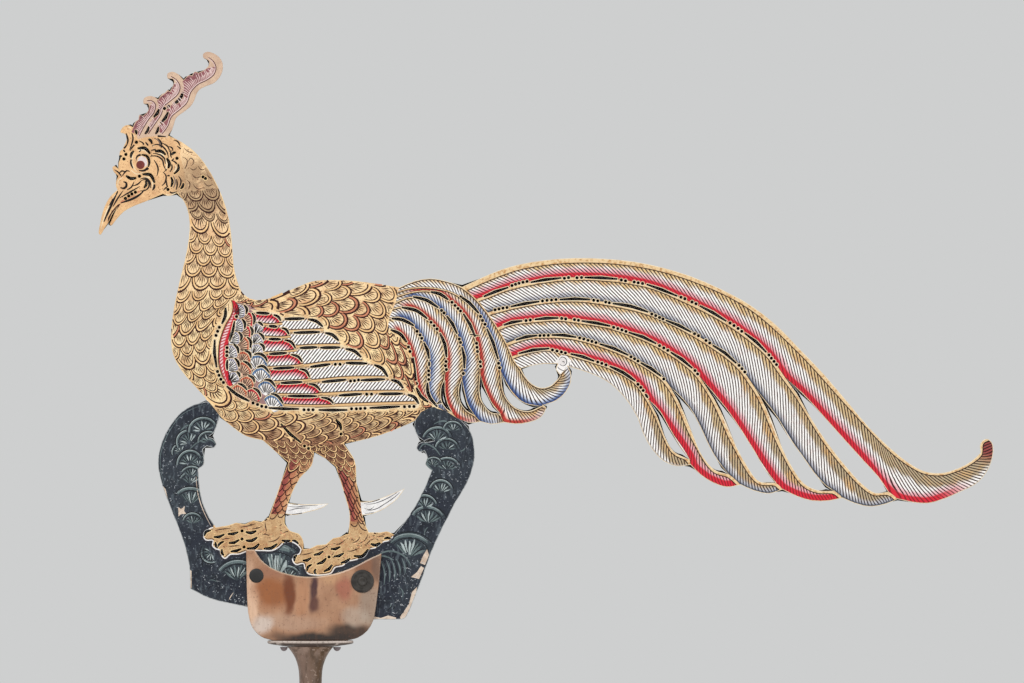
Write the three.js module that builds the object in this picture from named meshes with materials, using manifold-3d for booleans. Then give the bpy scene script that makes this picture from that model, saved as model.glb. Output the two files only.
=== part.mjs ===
// A shadow-play peacock: one pierced and painted sheet of rawhide, bird and ground in one piece,
// clamped between two horn cheeks by two rivets and carried by a turned horn handle.
// Millimetres, +Z up. The sheet stands in the XZ plane and the bird looks towards -X.
// The origin is the centre of the flat, blunt tip of the handle.
import * as THREE from "three";
import { mergeVertices } from "three/addons/utils/BufferGeometryUtils.js";
import Module from "manifold-3d";

const wasm = await Module();
wasm.setup();

// The rawhide sheet
const SHEET_THICKNESS = 1.2;
const DRAWING_UNIT = 0.55; // leather covered by one unit of the drawing below
const DRAWING_AXIS_U = 310.5; // where the handle's axis crosses the drawing
const DRAWING_SEAT_V = 640.5; // where the cheeks' lower edge lies in the drawing
const CHISEL_WIDTH = 1.3; // widest part of a chiselled slit
const CHISEL_POINT_WIDTH = 0.5; // width of a slit at its two ends
const CHISEL_SHOULDER = 0.25; // share of a straight slit's length in which it widens from each end
const CHORD_ERROR = 0.09; // how far a facet may leave the true curve

// The horn cheeks
const FRONT_CHEEK_THICKNESS = 3.4;
const BACK_CHEEK_THICKNESS = 3.4;
const CHEEK_EDGE_ROUNDING = 0.7;

// The rivets. The left one has a set head, the right one a peened end over a washer.
const RIVET_SHANK_RADIUS = 1.9;
const RIVET_HOLE_CLEARANCE = 0.3;
const LEFT_HEAD_RADIUS = 3.9;
const LEFT_HEAD_HEIGHT = 0.7;
const RIGHT_WASHER_RADIUS = 6.3;
const WASHER_THICKNESS = 0.9;
const BACK_WASHER_RADIUS = 4.6;
const PEENED_END_RADIUS = 2.6;
const PEENED_END_HEIGHT = 0.7;
const RIVET_DIMPLE_RADIUS = 1.3;
const RIVET_DIMPLE_DEPTH = 0.35;
const ROUND_SIDES = 24;

// The handle
const GRIP_LENGTH = 212; // from the blunt tip to the underside of the collar
const TIP_RADIUS = 2.2;
const SPIKE_LENGTH = 62;
const SPIKE_SHOULDER_RADIUS = 5.4;
const SWELL_HEIGHT = 112; // above the tip
const SWELL_RADIUS = 8.2;
const NECK_RADIUS = 6.15;
const NECK_DROP = 21; // from the collar down to the end of the flare
const FLARE_RADIUS = 12.8; // where the stem meets the collar
const STEM_SIDES = 32;
const COLLAR_HALF_WIDTH = 23.6;
const COLLAR_HALF_DEPTH = 8.6;
const COLLAR_THICKNESS = 3.3;
const COLLAR_RIM_THICKNESS = 1.6;
const TENON_RADIUS = 3.2;
const TENON_CLEARANCE = 0.3;

// The resin that was run into the joint under the collar
const RESIN_LUMP_HEIGHT = 2.3;
const RESIN_LUMP_RADIUS = 2.1;
const RESIN_LUMP_STEP = 1.8; // from the flare's rim out to the middle of each lump
const RESIN_GAP = 0.3;

// Cutters
const CUT_THROUGH = 1; // how far a cutter runs past what it cuts

const GRIP_TOP_Z = GRIP_LENGTH;
const SEAT_Z = GRIP_TOP_Z + COLLAR_THICKNESS;
const FRONT_FACE = SHEET_THICKNESS / 2 + FRONT_CHEEK_THICKNESS;
const BACK_FACE = SHEET_THICKNESS / 2 + BACK_CHEEK_THICKNESS;

// The drawing of the sheet. Coordinates are [u, v] in drawing units, u to the right and v down.
// An outline is a list of strokes; each stroke is a smooth curve through its points, and two
// strokes meet at a corner.
const HEAD_CREST = [
  [[168, 135.5], [172, 130], [174, 124], [176, 118], [180, 114.5], [185, 111], [190, 107], [194, 101],
    [196, 95], [199, 90], [205, 86.5], [213, 83.5], [219, 78], [222.3, 71], [222.5, 63], [219, 57],
    [213, 53], [207, 51.7], [203, 54], [203.5, 58], [207, 59.5], [209, 61.5], [208.3, 66], [204, 70],
    [198.5, 72.8]],
  [[198.5, 72.8], [195, 71.5], [192, 75.5]],
  [[192, 75.5], [188.5, 75.3], [183.5, 80]],
  [[183.5, 80], [178, 74], [171.5, 71.7], [167.3, 74], [167.8, 78.5], [173, 79], [174, 83], [171.5, 88.5],
    [170, 91.5]],
  [[170, 91.5], [167.5, 90], [165, 92.8]],
  [[165, 92.8], [162, 94], [158.3, 99.5]],
  [[158.3, 99.5], [154.5, 97], [149, 96], [144, 98.5], [143.8, 103.8], [148, 103.8], [149, 108], [147, 112.5],
    [143, 116]],
  [[143, 116], [139.5, 114.8], [138.6, 119.5]],
  [[138.6, 119.5], [135.5, 121.5], [133, 127.3]],
  [[133, 127.3], [128, 125], [123, 127], [120.5, 132.5], [124.5, 133.7], [127, 137], [126, 142], [122.8, 149]],
  [[122.8, 149], [120.2, 151], [119.5, 155]],
];
const FOREHEAD_AND_BEAK = [
  [[119.5, 155], [121, 157.5], [118.7, 163], [118.5, 169]],
  [[118.5, 169], [114.5, 166], [112.5, 167.5], [114, 172], [118.5, 176]],
  [[118.5, 176], [116.2, 181], [116.2, 186.5], [117.5, 190]],
  [[117.5, 190], [110.5, 196.5], [105, 206], [101.5, 217], [99.5, 227], [98.9, 233.5], [100.5, 234.8],
    [104, 229.5], [109, 221.7]],
  [[109, 221.7], [112.5, 214], [118, 206]],
  [[118, 206], [113.6, 215.5], [109.7, 224.5]],
  [[109.7, 224.5], [111, 225.8], [116, 220], [124, 211.5], [134, 206], [148, 200.5], [163, 193.8]],
  [[163, 193.8], [167, 195.8], [172, 195.5], [177, 193]],
];
const BREAST_AND_BELLY = [
  [[177, 193], [182.5, 199], [187, 208], [189.7, 222], [189, 238], [185, 260], [180, 280], [175.5, 300],
    [172.2, 320], [171, 338], [173, 354], [181, 370], [192, 383], [203, 395]],
  [[203, 395], [212, 405.5], [221, 417], [232, 426.5], [246, 436], [263, 440.3]],
  [[263, 440.3], [343.5, 443.7]],
  [[343.5, 443.7], [360, 440.5], [380, 435.2], [400, 427.5], [415, 420.5]],
];
const BACK = [
  [[462, 287], [452, 282.8], [440, 279.6], [430, 278.5], [415, 280.8], [399, 287.3]],
  [[399, 287.3], [380, 284.3], [355, 281], [330, 280], [312, 281.5], [296, 287.8], [280, 294.5], [264, 299.6],
    [252, 299.3], [243, 293.5], [237, 280.5], [233.5, 265], [232, 245], [229, 220], [222.3, 197], [211, 173.5],
    [197.5, 154.7], [182, 142.2], [168, 135.5]],
];
const BIRD = [
  ...HEAD_CREST,
  ...FOREHEAD_AND_BEAK,
  ...BREAST_AND_BELLY,
  [[415, 420.5], [445, 395], [470, 340], [462, 287]],
  ...BACK,
];

// The six long tail feathers share one outline; the gaps between them are cut out of it.
const TAIL = [
  [[462, 287], [480, 278.5], [500, 270], [520, 264.3], [545, 260.2], [575, 258], [605, 258.8], [635, 261.8],
    [662, 267.5], [690, 276], [720, 288.7], [750, 305], [775, 324], [800, 349.5], [825, 375.5], [850, 405],
    [870, 428.5], [890, 448], [908, 462.5], [925, 471.5], [942, 473], [958, 468.5], [972, 461], [981, 452.5]],
  [[981, 452.5], [980, 446], [982.5, 440.8], [987.5, 439], [992, 442.5], [993.5, 451], [991, 463], [986, 473],
    [977, 483], [960, 492], [944, 499], [928, 503.3], [912, 502.3], [897.5, 499]],
  [[897.5, 499], [886, 504], [870, 506.6], [855, 503.5], [842.5, 498]],
  [[842.5, 498], [829, 500.8], [812, 500.8], [797, 496.5], [782.5, 489.5]],
  [[782.5, 489.5], [769, 493.6], [754, 490.8], [740.5, 484.8]],
  [[740.5, 484.8], [727, 487.2], [712, 482.3], [700, 474.5], [690.5, 464.8]],
  [[690.5, 464.8], [678, 466.2], [664, 461.2], [652, 449], [643, 433], [638, 418.5], [625, 398], [608, 382],
    [590, 373.2], [568, 366.3]],
  [[568, 366.3], [545, 345]],
  [[545, 345], [440, 330]],
  [[440, 330], [462, 287]],
];
const TAIL_GAPS = [
  [
    [[785, 377.5], [802, 393.2], [822, 415], [842, 437.5], [864, 461.7], [878, 477], [888, 491.8]],
    [[888, 491.8], [875, 492.8], [862, 484], [846, 466.5], [828, 443.8], [810, 416.5], [797, 394], [785, 377.5]],
  ],
  [
    [[753, 385], [765, 401.2], [778, 418.5], [788, 436.5], [801, 454.5], [814, 473], [826, 486], [834, 490.8]],
    [[834, 490.8], [818, 490.3], [804, 483.5], [792, 467], [782, 447.5], [771, 419], [761, 398.2], [753, 385]],
  ],
  [
    [[699.5, 376.5], [712, 391.5], [726, 408.5], [742, 431.8], [754, 451], [764, 468.5], [775.5, 482.7]],
    [[775.5, 482.7], [759, 481.2], [747, 466], [736, 446], [726, 422], [714, 399], [699.5, 376.5]],
  ],
  [
    [[670, 386.5], [683, 399.3], [694, 414.5], [703, 433], [713, 453.5], [722, 466.8], [728.5, 474.3]],
    [[728.5, 474.3], [715, 470], [703, 457], [694, 437.5], [685, 415], [678, 400.5], [670, 386.5]],
  ],
  [
    [[648.5, 399.5], [660, 411.8], [669, 428], [679, 445], [689.5, 459.5]],
    [[689.5, 459.5], [674, 451.7], [664.5, 436], [657, 416], [648.5, 399.5]],
  ],
];

// The coverts hang from the body over the root of the tail. The last one curls back up and
// encloses a small window.
const COVERTS = [
  [[440, 400], [446, 411], [457, 418.2], [469, 422.8], [481, 421.8]],
  [[481, 421.8], [491, 424.3], [504, 422.5]],
  [[504, 422.5], [515, 424], [529, 422.5], [541, 417], [546, 407.5], [543, 405.3]],
  [[543, 405.3], [556, 400.8], [566, 392], [571, 381], [570.5, 371.5], [567, 365]],
  [[567, 365], [560, 345]],
  [[560, 345], [430, 330]],
  [[430, 330], [440, 400]],
];
const COVERT_WINDOW = [
  [[520.5, 368.5], [532, 365.5], [545, 363.8], [557.5, 363.8]],
  [[557.5, 363.8], [556, 370], [560, 375], [557, 380], [549, 386.5], [541, 387.8], [532, 384], [525, 376.5],
    [520.5, 368.5]],
];
const COVERT_GAPS = [
  [
    [[444.5, 380.5], [444.2, 391], [445.7, 399.5], [448.5, 407.5], [452, 412.5]],
    [[452, 412.5], [446.5, 408], [442.5, 402], [441.3, 394], [442.2, 386], [444.5, 380.5]],
  ],
  [
    [[462, 380], [463.7, 390], [466.3, 401], [469.5, 408.5], [474.5, 415]],
    [[474.5, 415], [466, 410], [460.5, 402], [458.9, 393], [459.7, 385.5], [462, 380]],
  ],
  [
    [[480.5, 375.5], [483.5, 386], [488, 396.5], [493.5, 406.5], [500, 413.8]],
    [[500, 413.8], [491, 412.3], [483, 403.5], [479.4, 391], [480.5, 375.5]],
  ],
  [
    [[501.3, 373], [507, 384.5], [514, 395.3], [525, 403.5], [541, 406.3]],
    [[541, 406.3], [528, 411.2], [515, 407.5], [505, 396], [501.7, 384], [501.3, 373]],
  ],
];

// Each leg runs from the thigh into the ground. A spur stands out of its back edge.
const LEFT_LEG = [
  [[263, 440.3], [276, 452], [288.5, 462.5]],
  [[288.5, 462.5], [282, 479], [276, 497], [269, 517], [266, 532]],
  [[266, 532], [288, 534]],
  [[288, 534], [284.5, 523], [285.3, 512], [291.5, 494], [300, 478], [311.5, 465.5], [314, 451.5]],
  [[314, 451.5], [320, 425]],
  [[320, 425], [250, 425]],
  [[250, 425], [263, 440.3]],
];
const LEFT_SPUR = [
  [[281, 502.5], [289, 503.3], [302, 504.4], [315, 504.4], [328.7, 503.6]],
  [[328.7, 503.6], [321, 508.4], [308, 512], [294, 515], [281, 513]],
  [[281, 513], [281, 502.5]],
];
const RIGHT_LEG = [
  [[314, 451.5], [325, 458.3], [336, 466.5]],
  [[336, 466.5], [340.5, 481], [345.5, 498], [349.6, 514], [348, 540]],
  [[348, 540], [372, 540]],
  [[372, 540], [366, 526.5], [363.2, 518], [360.5, 504], [356.5, 483], [354.7, 461], [343.5, 443.7]],
  [[343.5, 443.7], [345, 425]],
  [[345, 425], [300, 425]],
  [[300, 425], [314, 451.5]],
];
const RIGHT_SPUR = [
  [[354, 501.5], [363, 501.8], [375, 500.3], [388, 495.5], [404.6, 488.6]],
  [[404.6, 488.6], [398, 498], [387, 507], [374, 513.3], [361, 515.2], [354, 513]],
  [[354, 513], [354, 501.5]],
];

// The ground: two scrolling arms that rise to the breast and to the coverts, the two feet along
// its upper edge, and a broad slab below, most of it behind the horn cheek.
const GROUND = [
  [[222, 408], [206, 401.5]],
  [[206, 401.5], [193, 405], [181.5, 411.8], [170, 425.5], [162, 441.5], [158.2, 456], [158.5, 470],
    [162, 485], [169, 504], [178, 527], [185, 547], [189.3, 567], [190, 588.5]],
  [[190, 588.5], [210, 598.5], [247, 607]],
  [[247, 607], [374, 619.5]],
  [[374, 619.5], [398, 619.5], [404.5, 618.5], [411, 607]],
  [[411, 607], [421, 581.5], [431, 553], [443, 527], [455, 503.5], [467, 483], [473.5, 465], [474.8, 450],
    [471, 433], [463, 422], [452, 414], [444, 402]],
  [[444, 402], [422, 408]],
  [[422, 408], [415, 420.5]],
  [[415, 420.5], [414.3, 428], [417.5, 436], [425, 441.6]],
  [[425, 441.6], [419.5, 443], [416.5, 448], [420, 452], [424.5, 451]],
  [[424.5, 451], [427.3, 458], [425.2, 464], [431.5, 470.5]],
  [[431.5, 470.5], [425, 486.5], [415, 506], [405, 521.5], [394, 534.7]],
  [[394, 534.7], [387.5, 531.6], [380, 532.6], [368.8, 532.5]],
  [[368.8, 532.5], [360, 536], [347, 534]],
  [[347, 534], [340, 537], [333, 538.3], [326, 544.4], [317, 545.2], [310, 548.6], [303.3, 549.2]],
  [[303.3, 549.2], [303, 540.5], [298.5, 533.7], [290.5, 531.2], [284.7, 524]],
  [[284.7, 524], [276, 526], [268, 517.5]],
  [[268, 517.5], [260.5, 522], [253.5, 520.4], [245, 524.2], [236, 522.8], [228, 525.5], [215.8, 527.5]],
  [[215.8, 527.5], [209, 517], [203, 503], [199.6, 488], [198.3, 469]],
  [[198.3, 469], [203.5, 465], [204, 456], [202.8, 449.5]],
  [[202.8, 449.5], [207, 446], [213.5, 448], [216.5, 444.3]],
  [[216.5, 444.3], [213.5, 438.7], [208, 437.2]],
  [[208, 437.2], [214.5, 431.5], [219.5, 415]],
  [[219.5, 415], [222, 408]],
];

// The longer chiselled slits, each along its middle line.
const TAIL_SLITS = [
  [[484, 296.5], [495, 291.8], [508, 287.5]],
  [[531, 282.3], [545, 279.7], [561, 278]],
  [[585, 277.5], [601, 277.8], [617, 279]],
  [[647, 284.5], [662, 289.8], [677, 296]],
  [[700, 306], [713, 312.8], [726, 321]],
  [[745, 333.5], [756, 341.8], [766, 352]],
  [[511, 306.6], [525, 303.6], [539, 301.5]],
  [[560, 299.6], [575, 298.8], [590, 299.5]],
  [[613, 303.5], [631, 306.3], [648, 312]],
  [[666, 320.5], [679, 325.5], [691, 332]],
  [[713, 345.5], [725, 353], [736, 363]],
  [[504, 325], [512, 322.3], [522, 320.8]],
  [[535, 319.5], [546, 318.3], [558, 318]],
  [[582, 321], [596, 323], [610, 326]],
  [[629, 332.5], [643, 337], [656, 343.5]],
  [[671, 352.5], [682, 359.5], [692, 368]],
  [[516, 340], [526, 336.8], [537, 335.5]],
  [[552, 335], [564, 335.2], [576, 337.2]],
  [[600, 344], [614, 348.5], [628, 355]],
  [[641, 363], [651, 368.5], [661, 376]],
  [[519, 353.5], [533, 350], [549, 348.5]],
  [[571, 354], [583, 356.8], [594, 361]],
  [[610, 366.5], [623, 372.5], [635, 381]],
];
const WING_SLITS = [
  [[225.5, 308], [225.3, 316], [222, 323.5]],
  [[214.7, 340], [214.4, 353], [216.5, 367]],
  [[227, 386.5], [237, 394.7], [249, 401]],
  [[269, 408], [284, 408.8], [298.5, 409]],
  [[319, 410], [333, 410.2], [347, 410]],
  [[370, 408], [385, 407.4], [399.5, 406.5]],
  [[256.5, 312.8], [269, 313.5]],
  [[269, 326], [277, 326.7]],
  [[269, 339], [280.5, 339.3]],
  [[269.5, 354], [286.5, 353]],
  [[273.5, 368.5], [294, 367.5]],
  [[281, 383], [302, 382]],
  [[288, 396], [316.5, 396.2]],
  [[285, 319], [304, 318.5]],
  [[308.5, 319.3], [316, 321], [322.5, 326.5]],
  [[294, 332.8], [319.5, 332]],
  [[325.5, 333], [332.5, 334.8], [338.5, 340.5]],
  [[300, 348], [317, 347.2]],
  [[320.5, 347.7], [340, 347.5]],
  [[346, 349], [354, 350.8], [361, 357]],
  [[310.5, 367], [330, 364.2]],
  [[346, 363], [367, 363.5]],
  [[374.5, 365], [382, 368.5], [387.5, 376.5]],
  [[322, 382], [346, 379.7]],
  [[361, 380.3], [384.5, 379.3]],
  [[391.5, 380], [398, 382], [403, 388]],
  [[339, 395.5], [361.5, 394]],
  [[379, 394], [402.5, 393.7]],
  [[408, 394.8], [414, 397], [418.5, 403.5]],
];
const COVERT_SLITS = [
  [[391, 330], [400, 334], [406.5, 342]],
  [[413, 358], [414, 368], [416, 380]],
  [[416.5, 388], [420.5, 396], [428, 402]],
  [[392, 318.5], [403, 320], [413.5, 325.5]],
  [[424, 343], [427.5, 350.5], [429, 358.5]],
  [[427.5, 383], [427.7, 392], [431, 399.5], [437, 406.5]],
  [[402, 307.5], [416, 310.5], [427, 318.5]],
  [[440, 333.5], [444.7, 344], [446.5, 357]],
  [[413.5, 297], [426, 300], [438, 307.5]],
  [[447, 316.5], [452.5, 324], [457, 333.5]],
  [[462, 347.5], [464.3, 357], [464.3, 368]],
  [[431, 292], [440, 294], [448, 299.5]],
  [[463.5, 314], [470, 324.5], [475, 336.5]],
  [[460, 296], [469, 302.5], [478.5, 313]],
  [[487, 329], [493, 342.5], [498, 359]],
];
const BODY_SLITS = [
  [[183, 92.5], [180, 99], [174, 104]],
  [[159, 109.5], [157.3, 113.5], [154, 117]],
  [[168, 112.5], [165.5, 117.8], [161, 123]],
  [[138, 148.5], [145, 148.3], [150, 153.5]],
  [[126.5, 176], [131, 178.7], [136, 178]],
  [[143, 174.3], [150.5, 175], [154.5, 182.5]],
  [[155.5, 151.5], [160.5, 151], [165.5, 154.5]],
  [[167, 158.5], [169.5, 163.5], [168.5, 168]],
  [[281, 424], [290, 434], [301, 442.5]],
  [[336, 420], [340, 424.5], [341, 430]],
];
const FOOT_SLITS = [
  [[214, 537], [219, 537], [224, 534.5]],
  [[228, 534], [233, 534], [238, 532.3]],
  [[246, 532], [251, 533], [256, 531]],
  [[229, 543], [234, 542.8], [239, 540]],
  [[246, 540.5], [251.5, 540.8], [257, 537.5]],
  [[231, 551.5], [236, 551], [241, 549]],
  [[247, 548.5], [254, 548.3], [259, 544]],
  [[264, 548.5], [271, 548.3], [277, 544]],
  [[282, 540.5], [286, 541.3], [290, 540.5]],
  [[303, 560.5], [307, 560.5], [311, 558]],
  [[314, 555], [319, 554], [323, 551.3]],
  [[331, 549], [335.5, 549], [340, 547]],
  [[317, 564], [322, 562.5], [326, 558.5]],
  [[334, 556.5], [339, 556], [343.5, 553.3]],
  [[324, 571.5], [329, 569], [332, 565]],
  [[341, 563], [346, 561.5], [350, 558.7]],
  [[354, 556], [362, 556.3], [368, 549.5]],
  [[371, 544], [375.5, 545.2], [380, 543]],
];

// The front cheek, drawn in the same frame: scooped on top, round-bottomed, its right side raked.
const CHEEK = [
  [[246.3, 549.5], [254.5, 549.5]],
  [[254.5, 549.5], [261, 559.5], [270, 567], [282, 572.2], [296, 575.6], [311, 576.8], [326, 575.3],
    [342, 571.5], [357, 565.3], [370, 558.3], [381.5, 553.3]],
  [[381.5, 553.3], [379.5, 580], [376, 607]],
  [[376, 607], [373.5, 620], [367.5, 630.5], [358, 637.5], [345, 640.5]],
  [[345, 640.5], [274, 640.5]],
  [[274, 640.5], [261.5, 636.5], [252.5, 627], [248.5, 613], [247, 590]],
  [[247, 590], [246.3, 549.5]],
];
const LEFT_RIVET = [256.7, 575.4];
const RIGHT_RIVET = [362.6, 581];

// Colours, from the photograph
const COLOURS = {
  leather: 0xc9a468,
  horn: 0xc08a5c,
  dark_horn: 0x6f5a48,
  rivet: 0x2f3130,
  washer: 0x6a625a,
  resin: 0xcabfb8,
};
const material = (colour, roughness, metalness = 0) =>
  new THREE.MeshStandardMaterial({ color: COLOURS[colour], roughness, metalness });

// Drawing to leather: a point of the drawing in the sheet's own plane, with its zero on the seat.
const place = ([u, v]) =>
  new THREE.Vector3((u - DRAWING_AXIS_U) * DRAWING_UNIT, (DRAWING_SEAT_V - v) * DRAWING_UNIT, 0);

function followCurve(curve, from, to, points) {
  const start = curve.getPoint(from);
  const end = curve.getPoint(to);
  const middle = (from + to) / 2;
  const nearest = new THREE.Line3(start, end).closestPointToPoint(curve.getPoint(middle), true, new THREE.Vector3());
  if (nearest.distanceTo(curve.getPoint(middle)) > CHORD_ERROR) {
    followCurve(curve, from, middle, points);
    followCurve(curve, middle, to, points);
  } else points.push(new THREE.Vector2(end.x, end.y));
}

function strokePoints(stroke) {
  const points = [];
  if (stroke.length === 2) points.push(new THREE.Vector2().copy(place(stroke[1])));
  else {
    const curve = new THREE.CatmullRomCurve3(stroke.map(place), false, "centripetal");
    const pieces = stroke.length - 1;
    for (let i = 0; i < pieces; i++) followCurve(curve, i / pieces, (i + 1) / pieces, points);
  }
  return points;
}

const outlineShape = (strokes) => new THREE.Shape(strokes.flatMap(strokePoints));

// A slit is widest in the middle of its line and narrows to both ends.
function slitShape(line) {
  const first = new THREE.Vector2().copy(place(line[0]));
  const middle = [first, ...strokePoints(line)];
  if (line.length === 2) {
    const shoulders = [CHISEL_SHOULDER, 1 - CHISEL_SHOULDER].map((t) => first.clone().lerp(middle[1], t));
    middle.splice(1, 0, ...shoulders);
  }
  const lengths = [0];
  middle.slice(1).forEach((p, i) => lengths.push(lengths[i] + p.distanceTo(middle[i])));
  const total = lengths[lengths.length - 1];
  const sides = middle.map((p, i) => {
    const before = middle[Math.max(i - 1, 0)];
    const after = middle[Math.min(i + 1, middle.length - 1)];
    const across = after.clone().sub(before).normalize().rotateAround(new THREE.Vector2(), Math.PI / 2);
    const fullness = Math.sqrt(Math.max(Math.sin((Math.PI * lengths[i]) / total), 0));
    const half = THREE.MathUtils.lerp(CHISEL_POINT_WIDTH, CHISEL_WIDTH, fullness) / 2;
    return [p.clone().addScaledVector(across, half), p.clone().addScaledVector(across, -half)];
  });
  return new THREE.Shape([...sides.map((s) => s[0]), ...sides.map((s) => s[1]).reverse()]);
}

// Solids: a closed three.js geometry becomes a solid that can be joined and cut, and back again.
function solid(geometry) {
  geometry.deleteAttribute("normal");
  geometry.deleteAttribute("uv");
  const merged = mergeVertices(geometry, 1e-4);
  return new wasm.Manifold(
    new wasm.Mesh({
      numProp: 3,
      vertProperties: merged.attributes.position.array,
      triVerts: new Uint32Array(merged.index.array),
    }),
  );
}

function geometryOf(body) {
  const mesh = body.getMesh();
  return new THREE.BufferGeometry()
    .setAttribute("position", new THREE.BufferAttribute(mesh.vertProperties, 3))
    .setIndex(new THREE.BufferAttribute(mesh.triVerts, 1));
}

// A slab of the given thickness that lies from z = low upwards, over a shape in the XY plane.
function slab(shape, low, thickness) {
  return new THREE.ExtrudeGeometry(shape, { depth: thickness, bevelEnabled: false, curveSegments: ROUND_SIDES })
    .translate(0, 0, low);
}

function roundHole(centre, radius) {
  const at = place(centre);
  const shape = new THREE.Shape().absarc(at.x, at.y, radius, 0, 2 * Math.PI);
  shape.autoClose = true;
  return shape;
}

const shankHole = (centre) => roundHole(centre, RIVET_SHANK_RADIUS + RIVET_HOLE_CLEARANCE);
const union = (solids) => solids.reduce((a, b) => a.add(b));

function leatherSheet() {
  const low = -SHEET_THICKNESS / 2;
  const leather = (strokes) => solid(slab(outlineShape(strokes), low, SHEET_THICKNESS));
  const cutter = (shape) => solid(slab(shape, 2 * low, 2 * SHEET_THICKNESS));
  const parts = [BIRD, TAIL, COVERTS, LEFT_LEG, LEFT_SPUR, RIGHT_LEG, RIGHT_SPUR, GROUND];
  const windows = [...TAIL_GAPS, ...COVERT_GAPS, COVERT_WINDOW].map(outlineShape);
  const slits = [TAIL_SLITS, WING_SLITS, COVERT_SLITS, BODY_SLITS, FOOT_SLITS].flat().map(slitShape);
  const holes = [LEFT_RIVET, RIGHT_RIVET].map(shankHole);
  return union(parts.map(leather)).subtract(union([...windows, ...slits, ...holes].map(cutter)));
}

function hornCheek(thickness) {
  const shape = outlineShape(CHEEK);
  const inset = CHEEK_EDGE_ROUNDING;
  const plate = new THREE.ExtrudeGeometry(shape, {
    depth: thickness - inset,
    bevelThickness: inset,
    bevelSize: inset,
    bevelOffset: -inset,
    bevelSegments: 2,
  });
  // The bevel at z < 0 is cut away, so the face against the leather stays flat and sharp.
  const shoulder = solid(slab(shape, 0, inset));
  const reach = thickness + 2 * CUT_THROUGH;
  const holes = [LEFT_RIVET, RIGHT_RIVET].map((c) => solid(slab(shankHole(c), -CUT_THROUGH, reach)));
  return solid(plate).add(shoulder).trimByPlane([0, 0, 1], 0).subtract(union(holes));
}

// Turned pieces: a profile of [radius, height] pairs swept round the Y axis.
const turned = (profile, sides = ROUND_SIDES) =>
  new THREE.LatheGeometry(profile.map(([r, y]) => new THREE.Vector2(r, y)), sides);

// The left rivet: a flat set head in front, a shank through the three layers, a peened end behind.
function leftRivetProfile() {
  const headFace = -(FRONT_FACE + LEFT_HEAD_HEIGHT);
  const washerFace = BACK_FACE + WASHER_THICKNESS;
  return [
    [0, headFace],
    [LEFT_HEAD_RADIUS - LEFT_HEAD_HEIGHT / 2, headFace],
    [LEFT_HEAD_RADIUS, headFace + LEFT_HEAD_HEIGHT / 2],
    [LEFT_HEAD_RADIUS, -FRONT_FACE],
    [RIVET_SHANK_RADIUS, -FRONT_FACE],
    [RIVET_SHANK_RADIUS, washerFace],
    [PEENED_END_RADIUS, washerFace],
    [PEENED_END_RADIUS - PEENED_END_HEIGHT / 2, washerFace + PEENED_END_HEIGHT],
    [0, washerFace + PEENED_END_HEIGHT],
  ];
}

// The right rivet is peened over a washer at both ends, with a dimple in its front end.
function rightRivetProfile() {
  const frontWasher = -(FRONT_FACE + WASHER_THICKNESS);
  const frontEnd = frontWasher - PEENED_END_HEIGHT;
  const backWasher = BACK_FACE + WASHER_THICKNESS;
  return [
    [0, frontEnd + RIVET_DIMPLE_DEPTH],
    [RIVET_DIMPLE_RADIUS, frontEnd],
    [PEENED_END_RADIUS - PEENED_END_HEIGHT / 2, frontEnd],
    [PEENED_END_RADIUS, frontWasher],
    [RIVET_SHANK_RADIUS, frontWasher],
    [RIVET_SHANK_RADIUS, backWasher],
    [PEENED_END_RADIUS, backWasher],
    [PEENED_END_RADIUS - PEENED_END_HEIGHT / 2, backWasher + PEENED_END_HEIGHT],
    [0, backWasher + PEENED_END_HEIGHT],
  ];
}

function washerProfile(radius, near, far) {
  const hole = RIVET_SHANK_RADIUS + RIVET_HOLE_CLEARANCE;
  return [[hole, near], [radius, near], [radius, far], [hole, far], [hole, near]];
}

// The flare and the collar are round at the neck's radius and grow wider than they grow deep.
function squeezeToOval(geometry, fromHeight) {
  const squeeze = (COLLAR_HALF_DEPTH - NECK_RADIUS) / (COLLAR_HALF_WIDTH - NECK_RADIUS);
  const position = geometry.attributes.position;
  for (let i = 0; i < position.count; i++) {
    const radius = Math.hypot(position.getX(i), position.getZ(i));
    if (position.getY(i) < fromHeight || radius <= NECK_RADIUS) continue;
    const depth = NECK_RADIUS + (radius - NECK_RADIUS) * squeeze;
    position.setZ(i, (position.getZ(i) / radius) * depth);
  }
  return geometry;
}

// The handle from the tip up: a long spike, a swelling grip, a slim neck and a flare to the collar,
// with a tenon that stands in the collar's socket.
function stemProfile() {
  const grip = new THREE.CatmullRomCurve3(
    [
      [TIP_RADIUS, 0],
      [SPIKE_SHOULDER_RADIUS, SPIKE_LENGTH],
      [SWELL_RADIUS, SWELL_HEIGHT],
      [(SWELL_RADIUS + NECK_RADIUS) / 2, (SWELL_HEIGHT + GRIP_LENGTH - NECK_DROP) / 2],
      [NECK_RADIUS, GRIP_LENGTH - NECK_DROP],
    ].map(([r, y]) => new THREE.Vector3(r, y, 0)),
    false,
    "centripetal",
  );
  const flareStart = GRIP_LENGTH - NECK_DROP;
  const flareRise = FLARE_RADIUS - NECK_RADIUS;
  const flare = [0.35, 0.6, 0.78, 0.9, 1].map((t) => [NECK_RADIUS + flareRise * t ** 3, flareStart + NECK_DROP * t]);
  const tenonTop = SEAT_Z - TENON_CLEARANCE;
  return [
    [0, 0],
    ...grip.getPoints(12).map((p) => [p.x, p.y]),
    ...flare,
    [TENON_RADIUS, GRIP_LENGTH],
    [TENON_RADIUS, tenonTop],
    [0, tenonTop],
  ];
}

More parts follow.
